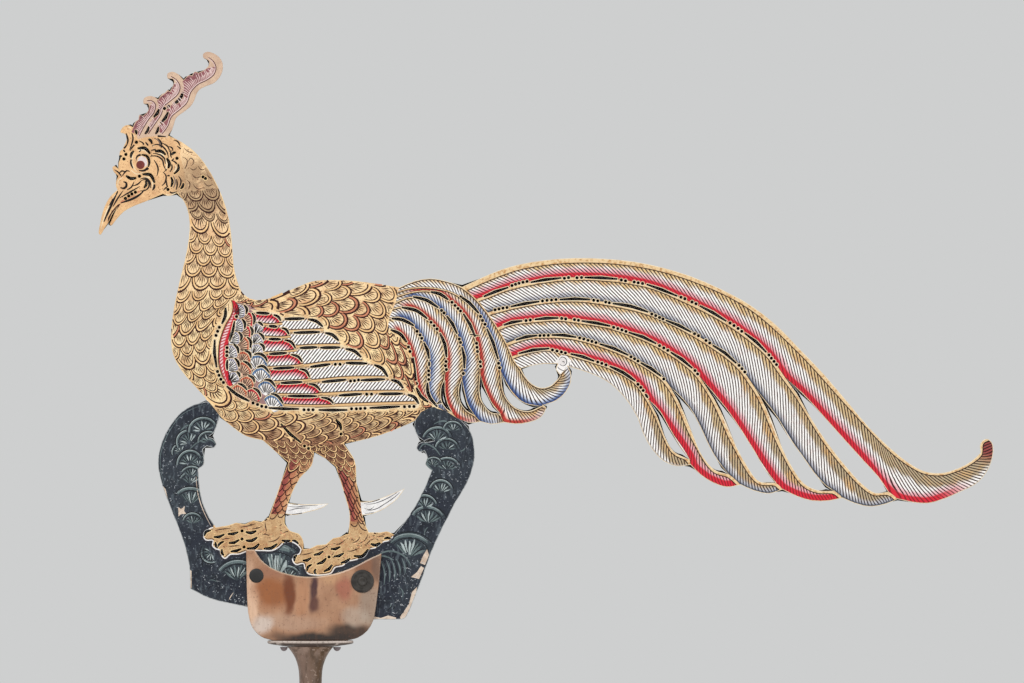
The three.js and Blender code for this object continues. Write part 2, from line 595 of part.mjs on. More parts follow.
// The collar is an oval disc: a thin rim, thicker towards the stem, with a round socket.
function collarGeometry() {
  const socket = TENON_RADIUS + TENON_CLEARANCE;
  const rimFoot = COLLAR_THICKNESS - COLLAR_RIM_THICKNESS;
  const geometry = turned(
    [
      [socket, 0],
      [FLARE_RADIUS, 0],
      [COLLAR_HALF_WIDTH, rimFoot],
      [COLLAR_HALF_WIDTH, COLLAR_THICKNESS],
      [socket, COLLAR_THICKNESS],
      [socket, 0],
    ],
    STEM_SIDES,
  );
  return squeezeToOval(geometry, 0);
}

// A lump of resin hangs under the collar: half a squashed ball with a flat top.
function resinLump() {
  const bulge = [0, 0.25, 0.5, 0.75, 1].map((share) => {
    const angle = (share * Math.PI) / 2;
    return [RESIN_LUMP_RADIUS * Math.sin(angle), -RESIN_LUMP_HEIGHT * Math.cos(angle)];
  });
  return turned([...bulge, [0, 0]], ROUND_SIDES / 2);
}

const part = new THREE.Group();

function addMesh(parent, name, geometry, meshMaterial) {
  const mesh = new THREE.Mesh(geometry, meshMaterial);
  mesh.name = name;
  parent.add(mesh);
  return mesh;
}

// Everything drawn in the plane of the sheet: extrusions run along its local +Z, towards the viewer.
const clamp = new THREE.Group();
clamp.position.z = SEAT_Z;
clamp.rotation.x = Math.PI / 2;
part.add(clamp);

addMesh(clamp, "figure_sheet", geometryOf(leatherSheet()), material("leather", 0.7));
const frontCheek = addMesh(clamp, "front_cheek", geometryOf(hornCheek(FRONT_CHEEK_THICKNESS)), material("horn", 0.35));
frontCheek.position.z = SHEET_THICKNESS / 2;
const backCheek = addMesh(
  clamp,
  "back_cheek",
  geometryOf(hornCheek(BACK_CHEEK_THICKNESS).mirror([0, 0, 1])),
  material("horn", 0.35),
);
backCheek.position.z = -SHEET_THICKNESS / 2;

// Rivets and washers turn about the world's Y axis.
function addRivetPiece(name, centre, profile, meshMaterial) {
  const mesh = addMesh(part, name, turned(profile), meshMaterial);
  const at = place(centre);
  mesh.position.set(at.x, 0, SEAT_Z + at.y);
}
const rivetMetal = material("rivet", 0.45, 0.8);
const washerMetal = material("washer", 0.55, 0.8);
const frontWasherFace = -(FRONT_FACE + WASHER_THICKNESS);
const backWasherFace = BACK_FACE + WASHER_THICKNESS;
addRivetPiece("left_rivet", LEFT_RIVET, leftRivetProfile(), rivetMetal);
addRivetPiece("right_rivet", RIGHT_RIVET, rightRivetProfile(), washerMetal);
addRivetPiece(
  "right_washer",
  RIGHT_RIVET,
  washerProfile(RIGHT_WASHER_RADIUS, frontWasherFace, -FRONT_FACE),
  washerMetal,
);
addRivetPiece("left_burr", LEFT_RIVET, washerProfile(BACK_WASHER_RADIUS, BACK_FACE, backWasherFace), washerMetal);
addRivetPiece("right_burr", RIGHT_RIVET, washerProfile(BACK_WASHER_RADIUS, BACK_FACE, backWasherFace), washerMetal);

// The handle stands on the world's Z axis.
const handle = new THREE.Group();
handle.rotation.x = Math.PI / 2;
part.add(handle);
const stem = squeezeToOval(turned(stemProfile(), STEM_SIDES), GRIP_LENGTH - NECK_DROP);
addMesh(handle, "handle_stem", stem, material("dark_horn", 0.5));
addMesh(handle, "collar", collarGeometry(), material("dark_horn", 0.4)).position.y = GRIP_TOP_Z;
for (const [name, side] of [["resin_lump_left", -1], ["resin_lump_right", 1]]) {
  const lump = addMesh(handle, name, resinLump(), material("resin", 0.3));
  lump.position.set(side * (FLARE_RADIUS + RESIN_LUMP_STEP), GRIP_TOP_Z - RESIN_GAP, 0);
}

export default part;
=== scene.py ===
"""The looks of a shadow-play peacock: one pierced and painted sheet of rawhide in a horn clamp.

The sheet's cut outline comes from the solid sheet in model.glb. What is drawn on it is placed in the
drawing's own units, [u, v] with u to the right and v down, and to_metres turns them into places on the
leather.
"""

import math
import random

import bmesh
import bpy
import numpy as np
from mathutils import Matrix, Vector, geometry, kdtree, noise


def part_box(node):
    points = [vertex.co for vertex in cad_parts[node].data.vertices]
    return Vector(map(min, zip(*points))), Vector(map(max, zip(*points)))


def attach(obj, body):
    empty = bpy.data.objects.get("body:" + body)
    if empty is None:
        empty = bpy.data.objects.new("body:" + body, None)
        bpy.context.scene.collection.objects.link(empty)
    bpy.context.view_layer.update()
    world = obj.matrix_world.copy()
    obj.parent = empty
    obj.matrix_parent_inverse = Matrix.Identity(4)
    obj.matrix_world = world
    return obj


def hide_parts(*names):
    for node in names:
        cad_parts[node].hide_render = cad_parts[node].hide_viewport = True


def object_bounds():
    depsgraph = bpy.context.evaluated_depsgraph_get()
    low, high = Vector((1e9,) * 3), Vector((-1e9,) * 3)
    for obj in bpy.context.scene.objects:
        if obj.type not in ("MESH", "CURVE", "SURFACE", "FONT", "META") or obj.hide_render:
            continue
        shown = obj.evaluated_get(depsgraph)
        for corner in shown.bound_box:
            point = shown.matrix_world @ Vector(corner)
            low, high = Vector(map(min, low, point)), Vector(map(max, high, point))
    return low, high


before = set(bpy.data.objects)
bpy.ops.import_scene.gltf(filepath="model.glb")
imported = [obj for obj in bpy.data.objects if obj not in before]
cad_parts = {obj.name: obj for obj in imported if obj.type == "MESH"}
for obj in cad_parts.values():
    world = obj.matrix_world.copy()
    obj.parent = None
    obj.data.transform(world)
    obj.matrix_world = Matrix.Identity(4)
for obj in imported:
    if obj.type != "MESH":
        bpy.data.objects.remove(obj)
cad_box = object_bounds()
random.seed(11)

# The drawing on the leather
UNIT = 0.00055  # metres of leather in one unit of the drawing
AXIS_U = 310.5  # where the handle's axis crosses the drawing
SEAT_V = 640.5  # where the cheeks' lower edge lies in the drawing
SEAT_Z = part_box("front_cheek")[0].z
SHEET_LOW, SHEET_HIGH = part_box("figure_sheet")
HALF_SHEET = SHEET_HIGH.y
POINT_STEP = 2.2  # between the points of a smooth curve
HEAD_STEP, CREST_STEP, SLIT_STEP = 1.4, 1.7, 1.6  # the same where curves are tighter
RUNG_STEP = 5  # between the rungs of a feather
GRID_STEP = 4.0  # between the face's corners where nothing is drawn
GRID_JITTER, GRID_SEED = 0.8, 5  # how far they are off a square grid, at random
SNAP = 0.01  # the face's corners are rounded to this
EDGE_STEP = 0.25  # between the points at which the distance to a cut is taken
AT_CUT = 0.2  # a corner this near to a cut lies on it
WALL_STEP = 0.3  # between the points at which a cut's far wall is looked for
NEAREST_CORNERS = 0.12  # the solid's corners that stand closer are one

# The cut edges, in drawing units
RIM = 0.65  # width of the pale raw rim along every cut
DOT_RADIUS = 1.65
FINE_SLIT = (2.7, 1.4)  # width in the middle and at the ends
CRESCENT = (2.8, 1.3)
SLIT_EASE = 0.45  # the chisel has pressed the slits this much wider
SLIT_WIDTH = 3.6  # a cut is such a slit up to this width
EASED_STEP = 1.2  # between the points of an eased slit

# A cut narrows towards the middle of the leather, where its walls, painted near black as painted shade, leave
# a hairline for the light
NARROWING = 0.985  # how far each wall comes in, as a share of half the cut's width
NEAR_ALONG = 1.0  # places on the wall closer than this don't count as facing
NARROW_CUT = 4.2  # cuts up to this width narrow by that share, wider ones less
WIDE_CUT = 9.0  # and cuts wider than this have upright walls
# the dark walls are painted shade: near black, so the narrow cuts read as dark holes
DARK_LEAN = 0.2  # a wall that comes in by more than this is dark

# Heights over the leather's face, in metres
RIM_DROP = 0.00024  # the rim falls away towards the cut
WASH_HEIGHT = 0.00003  # lines of paint stand a little proud
INK_HEIGHT = 0.00006
LINE_ROOT = 0.00001  # their edges lie just under the face

# The dry leather has pulled out of its plane, less so near the clamp. In metres
CLAMP_RISE = 0.04  # from the seat up to the clamp's middle
STIFF_REACH = 0.07
FREE_REACH = 0.27
WAVES = ((0, 0.0012, 14, 0.6), (1, 0.0008, 25, 0.0))  # along x or z, height, radians in a metre, start

# The figure's parts, in painter's order. Each is cut along what shows as a border in the painting.
HEAD = [(168, 126), (182, 142.2), (180, 155), (184, 170), (186, 183), (177, 193), (178, 215), (90, 245),
        (90, 118), (133, 118)]
CREST = [(133, 127.3), (131, 118), (110, 90), (110, 30), (240, 30), (240, 110), (176, 131), (168, 135.5),
         (158, 136.2), (146, 137.2), (138, 139.3)]
WING = [(230.5, 299.5), (237, 302.5), (246, 303.5), (249, 308), (262, 309.5), (276, 311.5), (284, 315.5),
        (303, 315.3), (318, 317.3), (325.5, 325), (328, 330.5), (334, 331), (342, 339), (344.5, 346.5),
        (355, 347.8), (365, 357), (368.5, 361.5), (384, 365.3), (391, 375), (394, 378.5), (400, 379.5),
        (407, 388), (409, 392), (416, 394.5), (421.5, 403.5), (418.5, 409.5), (400, 410.5), (370, 411.5),
        (340, 412.5), (300, 413), (270, 412), (249, 404.5), (233, 394.5), (222, 384), (213.5, 370),
        (210.5, 350), (214, 330), (222, 314.5)]
COVERT_LEFT = [(399, 287.3), (396, 299), (391, 311), (387.5, 322), (389, 329), (399, 334), (406, 342),
               (410.5, 352), (412.5, 364), (414, 376), (418, 390), (427, 402), (437, 408.5), (446, 411)]
COVERT_RIGHT = [(462, 287), (470, 293), (478, 301), (486, 311), (494, 322), (502, 335), (508, 346),
                (512, 354), (515, 362), (520.3, 370)]
COVERTS = [*COVERT_LEFT, (457, 418.2), (469, 422.8), (481, 425.5), (600, 426), (600, 360), (520.3, 370),
           *COVERT_RIGHT[::-1], (455, 276), (430, 272), (400, 278)]
TAIL = [*COVERT_RIGHT, (520.5, 368.5), (532, 365.5), (545, 363.8), (557.5, 363.8), (568, 366.3),
        (590, 373.5), (590, 530), (1010, 530), (1010, 230), (462, 230)]
GROUND = [(140, 385), (200, 391.5), (203, 395), (212, 405.5), (221, 417), (228, 424), (240, 470), (300, 475),
          (340, 475), (400, 470), (408, 424), (415, 420.5), (421, 412), (430, 407.5), (438, 406.5),
          (446, 411), (457, 418.2), (469, 422.8), (520, 426), (520, 640), (140, 640)]
RIGHT_FOOT_EDGE = [(394, 534.7), (389, 540.5), (384, 541.5), (376, 547.5), (369, 549.5), (365, 556),
                   (356, 559.5), (348, 561.5), (343, 565.5), (335, 567.5), (331, 573), (321, 575), (315, 575),
                   (308, 573.5), (305, 569), (303.5, 563.5), (296, 564.5), (292.5, 560), (294, 555.5),
                   (299, 554), (301, 549.5)]
LEFT_FOOT_EDGE = [(301, 549.5), (298, 545.5), (292, 542), (284, 542.5), (279, 547), (272, 550.5),
                  (262, 550.5), (248, 551), (239, 554), (230, 554.5), (225, 558.5), (220.5, 554), (220, 550),
                  (216, 549), (212.5, 545.5), (213, 540.5), (206, 540), (203.5, 536.5), (205.5, 531),
                  (213, 527.5)]
LEGS = [(250, 441), (263, 440.3), (290, 442), (314, 444), (343.5, 443.7), (356, 440.8), (415, 470),
        (415, 500), *RIGHT_FOOT_EDGE, *LEFT_FOOT_EDGE, (225, 500)]
LEFT_SPUR = [(289, 500), (345, 496), (345, 516), (285, 518), (286, 512)]
RIGHT_SPUR = [(360.2, 499.5), (372, 494), (412, 482), (412, 500), (380, 516), (363, 518), (361.5, 512)]
PARTS = [("ground", GROUND), ("legs", LEGS), ("left_spur", LEFT_SPUR), ("right_spur", RIGHT_SPUR),
         ("coverts", COVERTS), ("tail", TAIL), ("head", HEAD), ("crest", CREST), ("wing", WING)]

# The tail's feathers, from the top one down: the edges between them, from root to tip
TAIL_BORDERS = [
    [(462, 287), (480, 278.5), (520, 264.3), (575, 258), (635, 261.8), (690, 276), (750, 305), (800, 349.5),
     (850, 405), (890, 448), (908, 462.5), (925, 471.5), (942, 473), (958, 468.5), (972, 461), (981, 452.5),
     (980, 446), (982.5, 440.8), (987.5, 439)],
    [(470, 301), (484, 296.5), (508, 287.5), (531, 282.3), (561, 278), (601, 277.8), (647, 284.5), (677, 296),
     (726, 321), (766, 352), (785, 377.5)],
    [(488, 312.5), (511, 306.6), (539, 301.5), (575, 298.8), (613, 303.5), (648, 312), (691, 332), (736, 363),
     (753, 385)],
    [(497, 328), (512, 322.3), (535, 319.5), (558, 318), (582, 321), (610, 326), (656, 343.5), (692, 368),
     (699.5, 376.5)],
    [(506, 343.5), (526, 336.8), (552, 335), (576, 337.2), (600, 344), (628, 355), (661, 376), (670, 386.5)],
    [(512, 356.5), (533, 350), (549, 348.5), (571, 354), (594, 361), (610, 366.5), (635, 381),
     (648.5, 399.5)],
    [(520, 370), (545, 363.8), (568, 366.3), (590, 373.2), (608, 382), (625, 398), (638, 418.5), (643, 433),
     (652, 449), (664, 461.2), (678, 466.2), (690.5, 464.8)],
]
# Past its border's end a feather's lower edge runs on along the gap, and the next one's upper edge too
TAIL_LOWER_TIPS = [
    [(802, 393.2), (842, 437.5), (864, 461.7), (888, 491.8), (897.5, 499), (912, 502.3), (928, 503.3),
     (944, 499), (960, 492), (977, 483), (986, 473), (991, 463), (993.5, 451), (992, 442.5), (987.5, 439)],
    [(778, 418.5), (801, 454.5), (826, 486), (834, 490.8), (842.5, 498), (855, 503.5), (870, 506.6),
     (886, 504), (897.5, 499)],
    [(726, 408.5), (754, 451), (775.5, 482.7), (782.5, 489.5), (797, 496.5), (812, 500.8), (829, 500.8),
     (842.5, 498)],
    [(694, 414.5), (713, 453.5), (728.5, 474.3), (740.5, 484.8), (754, 490.8), (769, 493.6), (782.5, 489.5)],
    [(669, 428), (689.5, 459.5), (690.5, 464.8), (700, 474.5), (712, 482.3), (727, 487.2), (740.5, 484.8)],
    [],
]
TAIL_UPPER_TIPS = [[], [(797, 394), (828, 443.8), (862, 484), (875, 492.8), (888, 491.8), (897.5, 499)],
                   [(761, 398.2), (782, 447.5), (804, 483.5), (818, 490.3), (834, 490.8), (842.5, 498)],
                   [(714, 399), (736, 446), (759, 481.2), (775.5, 482.7), (782.5, 489.5)],
                   [(678, 400.5), (694, 437.5), (715, 470), (728.5, 474.3), (740.5, 484.8)],
                   [(657, 416), (674, 451.7), (689.5, 459.5), (690.5, 464.8)]]
TAIL_PAINTS = ("tail_first", "tail_grey", "tail_red", "tail_grey", "tail_red", "tail_plain")

# The coverts' feathers, from the left one to the right: the edges between them, from root to tip
COVERT_BORDERS = [
    [(388, 328), (395, 329.5), (401, 335), (406.5, 342), (412, 356), (414, 368), (416, 380), (420.5, 396),
     (428, 402), (440, 408.5), (452, 413)],
    [(389, 318.5), (397, 316.5), (405, 318.7), (413.5, 325.5), (424, 343), (429, 358.5), (427.5, 383),
     (427.7, 392), (437, 406.5), (452, 413)],
    [(393, 308.5), (401.5, 306.5), (412, 308.5), (420, 312.5), (427, 318.5), (440, 333.5), (446.5, 357),
     (444.5, 380.5)],
    [(396, 302), (410, 296.8), (422, 299), (432, 303.5), (438, 307.5), (457, 333.5), (464.3, 360),
     (462, 380)],
    [(397, 296), (412, 291.8), (428, 290.5), (440, 294), (448, 299.5), (463.5, 314), (475, 336.5),
     (480.3, 362), (480.5, 375.5)],
    [(398, 291.5), (408, 288.5), (420, 287), (436, 288), (450, 291.3), (460, 296.5), (478.5, 313), (487, 329),
     (498, 359), (501.3, 373)],
    [(399, 287.3), (415, 280.5), (430, 278), (440, 279), (452, 282.5), (462, 287), (478, 301), (494, 322),
     (508, 346), (515, 362), (520.5, 368.5)],
]
# Past its border's end a feather's left edge is its lower one, and its right edge its upper one
COVERT_LOWER_TIPS = [  # left side of each feather past the end of its border
    [], [],
    [(445.7, 399.5), (452, 412.5), (457, 418.2), (469, 422.8), (481, 421.8)],
    [(466.3, 401), (474.5, 415), (481, 421.8), (491, 424.3), (504, 422.5)],
    [(488, 396.5), (500, 413.8), (504, 422.5), (515, 424), (529, 422.5), (541, 417), (546, 407.5)],
    [(507, 384.5), (525, 403.5), (541, 406.3), (556, 400.8), (566, 392), (571, 381), (570.5, 371.5),
     (567, 365)],
]
COVERT_UPPER_TIPS = [  # right side of each feather past the end of its border
    [],
    [(442.2, 386), (441.3, 394), (446.5, 408), (452, 412.5)],
    [(459.7, 385.5), (458.9, 393), (466, 410), (474.5, 415), (481, 421.8)],
    [(479.4, 391), (483, 403.5), (500, 413.8), (504, 422.5)],
    [(501.7, 384), (505, 396), (515, 407.5), (528, 411.2), (541, 406.3)],
    [(525, 376.5), (532, 384), (541, 387.8), (549, 386.5), (557, 380), (560, 375), (556, 370),
     (557.5, 363.8)],
]
COVERT_PAINTS = ("covert_red", "covert_blue", "covert_red", "covert_blue", "covert_red", "covert_top")
# The last covert's curled end
CURL = [(555, 372), (555, 362), (561, 355), (567, 356), (571, 360), (572, 364), (566, 367.5), (561, 374)]
CURL_STROKES = [[(559, 360), (562, 357), (566, 359), (566.5, 363.5), (563, 366), (560, 364)],
                [(562, 362), (564, 361.5), (564, 363.5)], [(569, 362), (569.5, 368), (567.5, 373)],
                [(556.5, 363), (559, 368.5), (565, 371)]]

# The wing: seven red feathers and six white ones, each with its top line and its bottom line
RED_FEATHERS = [
    ([(256, 312.5), (269, 313.3), (273.5, 313.8), (279, 316.3), (282.5, 323)],
     [(258, 325), (270, 326.3), (282.5, 325)]),
    ([(262, 326), (277, 326.5), (281.5, 327), (287, 329.2), (291, 336.5)],
     [(264, 338.5), (280.5, 339), (291, 338)]),
    ([(264, 339), (280.5, 339.2), (284.5, 339.3), (291.5, 341.7), (297.5, 350)],
     [(265, 354.5), (286.5, 353), (297.5, 351.5)]),
    ([(265, 354.5), (286.5, 353), (291, 353.7), (299, 356.5), (304, 364)],
     [(269, 369), (294, 367.5), (304, 366)]),
    ([(269, 369), (294, 367.5), (299.5, 368.2), (306.5, 370.5), (311.5, 379.5)],
     [(275, 383.5), (302, 382), (311.5, 381)]),
    ([(275, 383.5), (302, 382), (308.5, 383), (316, 385), (322.5, 393)],
     [(282, 396), (316.5, 396.2), (322.5, 395)]),
    ([(282, 396), (316.5, 396.2), (321, 396.7), (329, 398.5), (335.5, 405.5)],
     [(284, 406.5), (310, 407.3), (335.5, 407)]),
]
WHITE_FEATHERS = [
    ([(284, 319.5), (304, 318), (316, 320.3), (324, 328.5)], [(290, 333), (308, 332.5), (324, 331.5)]),
    ([(292, 333), (319.5, 331.6), (332.5, 334.2), (340, 342)], [(298, 348.5), (317, 347.3), (340, 347)]),
    ([(298, 348.5), (340, 347), (354, 350.2), (362.5, 358.5)], [(304, 367.5), (330, 364.2), (362.5, 363.2)]),
    ([(306, 367.5), (330, 364), (367, 363.2), (382, 368), (389, 378)],
     [(314, 382.7), (346, 379.7), (389, 379.5)]),
    ([(314, 382.7), (346, 379.5), (384.5, 379), (398, 381.5), (404.5, 390)],
     [(323, 396), (361.5, 394), (404.5, 393.5)]),
    ([(324, 396.2), (361.5, 393.8), (402.5, 393.4), (414, 396.5), (419.5, 404)],
     [(337, 407), (380, 405.5), (419.5, 404.5)]),
]
RED_BAND = ([(231, 300), (233, 307.5), (231, 315), (226.5, 323), (222.5, 332), (219.5, 342), (218.5, 352),
             (218.5, 362), (220.5, 371), (223.5, 379), (227.5, 386.5)],
            [(234.5, 300.5), (238.5, 307), (239, 313.5), (235.5, 322), (232.5, 332), (229.2, 341),
             (227.2, 349), (227, 360), (228, 369), (230, 378), (233, 385.5)])
SCALLOP_GROUND = [(236, 302), (250, 305), (258, 311), (266, 320), (268, 340), (270, 356), (276, 380),
                  (287, 405), (262, 404), (246, 397), (235, 385), (230, 370), (229, 350), (233, 330),
                  (240, 314)]
FEATHER_GROUND = [(250, 309), (262, 311), (276, 313), (284, 318), (303, 317.5), (317, 320), (325, 330),
                  (333, 334), (340, 344), (354, 350), (363, 360.5), (381, 367.5), (389, 378.5), (398, 382),
                  (405, 392), (414, 397), (419.5, 404.5), (418, 408), (300, 410), (286, 409), (276, 380),
                  (268, 345), (264, 322)]

# How close the barbs stand, and how many steps forward they go for each step in from a feather's upper
# edge: at the feather's root, along its middle and at its tip
LEAN_PLACES = (0, 0.45, 0.8, 1)  # where the first, second, second and third lean hold
TAIL_BARBS = ((0.9, 1.6, 0.4), 2.65)
COVERT_BARBS = ((1.1, 1.2, 0.5), 2.5)
BAND_BARBS = ((-0.8, -0.8, -0.8), 2.5)
WING_SPACING = 2.75
WING_SLOPE = (0.62, -0.78)  # the way all barbs of the wing's feathers run

# The wing's small scallops: their paint, then the pierced crescent on the upper right side of each
SCALLOPS = [
    ("grey", [(258, 322), (261, 323.7), (263, 326)]),
    ("grey", [(259, 333), (263, 336.5), (263.8, 340)]),
    ("grey", [(259.5, 343.5), (263.5, 346.5), (263.8, 351)]),
    ("blue", [(254, 354.5), (260, 353.8), (265, 357), (267, 361.5)]),
    ("blue", [(257, 367.5), (263, 366.3), (269.5, 373)]),
    ("blue", [(264, 380), (270, 380.5), (275.5, 387)]),
    ("blue", [(271, 393.8), (277, 395.5), (283, 403.5)]),
    ("crimson", [(252, 313), (254.5, 318), (253.5, 324.5)]),
    ("crimson", [(250, 326.5), (252.5, 331), (251.5, 335.5)]),
    ("orange", [(247, 337), (250.5, 341), (250, 348)]),
    ("orange", [(244.5, 350.5), (249.5, 353), (250.8, 358)]),
    ("orange", [(243, 361), (248.5, 364), (251.5, 369)]),
    ("orange", [(248, 375.5), (253, 378), (254.3, 382.5)]),
    ("crimson", [(253, 388), (258.5, 391.5), (260.5, 397)]),
    ("grey", [(244, 305), (246.8, 309), (246, 314)]),
    ("grey", [(242, 319), (244.8, 323), (244.5, 329)]),
    ("grey", [(238.5, 332), (241.5, 336), (240.5, 341)]),
    ("grey", [(233.5, 344.5), (237.5, 348), (238.3, 353.5)]),
    ("grey", [(234.5, 358), (238, 362), (239, 367)]),
    ("grey", [(236.5, 371.5), (239, 374), (239.8, 377)]),
    ("orange", [(238, 383.5), (243, 385.5), (247, 390)]),
]
LOBES = {"grey": "white", "crimson": "peach", "orange": "peach", "blue": "white"}  # their paint further in

# The pierced slits and dots that are too fine for the solid sheet
FINE_SLITS = [
    [(134, 151), (131.5, 154), (131, 158)],
    [(145.5, 181), (146.5, 184), (144, 188)],
    [(172, 155), (173.5, 153), (176, 152.5)],
    [(178, 164), (178.5, 169), (174, 174)],
    [(171, 177), (172.5, 182), (171, 187)],
    [(183.5, 183), (182.7, 186.5), (180.5, 189)],
    [(148.5, 139), (151, 141), (152, 144)],
    [(149, 126.5), (147.5, 131), (145, 134)],
    [(158.5, 127), (157.5, 131), (155.5, 134)],
    [(135.5, 130), (136.3, 132), (136.5, 134.5)],
    [(204.5, 536), (206, 532), (211, 530.5)],
    [(215.5, 542), (216, 546), (217.5, 548.5)],
    [(217.5, 547), (220, 543.5), (224, 541.5)],
    [(222, 549), (222, 553), (224, 555.5)],
    [(292, 540.5), (295, 541), (298.5, 544)],
    [(297, 555), (294.5, 558), (294.5, 561.5)],
    [(312, 564.5), (308, 567), (307, 571)],
    [(316, 569), (314.5, 572), (316.5, 574.3)],
    [(384, 539), (388, 537.8), (390.5, 539)],
    [(273.5, 314.8), (278.5, 317), (280.5, 321)],
    [(281.5, 328), (286, 329.5), (289, 334.5)],
    [(284.5, 340), (291, 342), (295.5, 348.5)],
    [(291, 354.5), (298.5, 357), (302, 362)],
    [(299.5, 369), (306, 371), (309.5, 377.5)],
    [(308.5, 383.8), (315.5, 385.5), (320.5, 391)],
    [(321, 397.5), (328.5, 399), (333.5, 403.5)],
    [(234.5, 321), (232.5, 332), (229.5, 341)],
    [(227.3, 360), (227, 365), (227.3, 370)],
    [(425, 441.6), (429.5, 440.3), (434, 440)],
    [(645, 394), (646.7, 396), (648, 398)],
    [(429, 361.5), (429.2, 364), (429, 366.5)],
    [(141.5, 154.8), (147, 156.3), (149.3, 161.5), (148.3, 167)],
]
DOTS = [
    # the head and the neck
    (136.5, 142.3), (177, 158.3), (168, 189.5), (126, 154.5), (124, 159), (203, 177), (205.5, 178.5),
    (139.5, 176.3), (125.5, 198.5), (128.8, 196), (132, 194), (135.5, 192.3),
    # the crest
    (168.5, 106.5), (164.5, 108.5),
    # round the wing
    (219.3, 327.3), (217.6, 331.3), (216, 335.5), (217.5, 371.5), (219, 375.3), (220.8, 379.3),
    (223.4, 382.5), (253, 403), (257.5, 404.5), (261.7, 406.3), (266, 407), (304, 409.8), (308.5, 409.8),
    (313, 409.8), (351.5, 408.8), (356.3, 408.8), (360.5, 408.6), (365, 408.3), (404.5, 406.8),
    (409.5, 406.5), (414, 406.5), (236.5, 316.5), (227, 347.8), (226.8, 351.8), (226.8, 355.5),
    (335.3, 364.3), (340, 364.3), (350.5, 381), (354.5, 380.7), (358.5, 380), (366.7, 394.2), (371.5, 394.2),
    # the thighs and the feet
    (304.5, 446), (308.5, 448.5), (341, 434), (242, 531), (242, 539), (244, 547), (329, 557),
    # the coverts
    (408.5, 347), (410, 351.5), (416.5, 383.5), (417, 331.3), (420, 335), (421.7, 338.3), (428.7, 370.8),
    (428.7, 375), (428.7, 379.5), (431, 322.3), (434, 325.7), (437, 329), (446, 361.5), (445.5, 365.8),
    (446.3, 369.5), (441.5, 310.5), (444, 313), (459.3, 339), (460.5, 342.5), (463.3, 373.5), (452, 302.3),
    (455, 305.5), (458, 308.5), (460.5, 311), (476.5, 343.3), (477, 347.3), (477.5, 351.5), (480.2, 361.8),
    (480.5, 366.3), (480.5, 316.5), (482.5, 320.5), (485, 324.3), (498.5, 363.3), (499.5, 367.8),
    # the tail's first border
    (512, 285.5), (515.5, 284.3), (519, 283.2), (523, 282.2), (527, 281.4), (564.4, 278.3), (568.5, 277.6),
    (577, 277.8), (581.5, 277.5), (621.3, 280), (625.5, 280.8), (634.2, 282), (638.2, 282.8), (642.5, 283.5),
    (681, 297.2), (684.8, 298.8), (692, 302), (696, 303.8), (730, 323), (734, 325.6), (738, 328.5),
    (741.7, 331.3), (768.9, 355), (771.3, 358.2), (774, 361.4), (776.5, 364.6),
    # its second border
    (495, 309.8), (499, 309), (503, 308.1), (507, 307.5), (542.5, 300.9), (547, 300.3), (551.5, 300),
    (556, 299.6), (593.7, 300.3), (597.8, 300.8), (605.7, 302), (609.3, 302.8), (651.8, 314), (655.7, 315.6),
    (659.5, 317.5), (663, 319), (694.5, 333.7), (698.5, 335.7), (706, 340.5), (709.7, 343), (739, 365.4),
    (742, 368.7), (744.8, 372),
    # its third, fourth and fifth borders
    (526, 320.6), (530.3, 320), (561.7, 318.4), (565.7, 318.9), (574.5, 319.6), (578.5, 320.3),
    (613.6, 327.3), (617.8, 328.6), (622, 330), (626, 331.4), (659.6, 345.7), (663.8, 348), (667.8, 350.4),
    (695, 370.6), (697.7, 374), (540, 335.6), (544, 335.4), (548.3, 335.3), (579.7, 338), (583.8, 339),
    (588, 340.3), (592, 341.4), (596, 342.6), (631, 356.8), (634.6, 358.8), (638, 361), (663.8, 379),
    (552.5, 350), (557, 351), (561.4, 352), (565.4, 353), (597.8, 362), (601.8, 363.4), (606, 365),
    (638, 384.3), (640.8, 387.4), (643.2, 390.5),
]

# The scales hang between two guide lines, whose points belong together in pairs
SCALE_DEPTH = 0.72  # of a scale's width
SCALE_ROW = 0.98  # from row to row, of a scale's depth
FULL_SCALE = 17  # width of the scales on which the brush lines have their full width
NECK_FRONT = [(187, 192), (188, 200), (190, 215), (190, 238), (186, 260), (180, 282), (174, 305), (171, 325),
              (171, 342), (176, 360), (190, 381), (212, 406), (232, 426.5), (262, 441), (300, 445),
              (343, 445), (380, 436), (418, 419)]
NECK_BACK = [(218, 188), (222.3, 197), (229, 220), (232, 245), (234, 265), (238, 283), (238, 298), (226, 314),
             (216, 330), (212, 350), (216, 372), (232, 393), (255, 404), (285, 411), (330, 412), (370, 410),
             (398, 409), (418, 407)]
BACK_LOW = [(236, 303), (250, 306), (268, 312), (300, 317), (322, 325), (341, 338), (362, 355), (388, 373),
            (404, 386), (420, 404), (428, 409)]
BACK_HIGH = [(243, 292), (264, 297), (296, 284), (325, 277), (352, 278), (382, 281), (402, 296), (398, 318),
             (411, 343), (418, 378), (434, 404)]
NAPE_STROKES = [
    [(188, 162), (191, 158), (194, 162), (191, 166)],
    [(182, 157), (187, 160), (186, 167), (182, 172)],
    [(187, 180), (190, 184), (188, 190)],
    [(192, 174), (196, 178), (201, 176)],
    [(204, 182), (208, 186), (213, 184)],
    [(193, 184), (198, 189), (204, 187)],
    [(198, 166), (202, 170), (206, 168)],
    [(207, 174), (210, 178), (214, 177)],
    [(184, 148), (189, 152), (195, 152)],
    [(190, 168), (194, 170), (197, 167)],
]

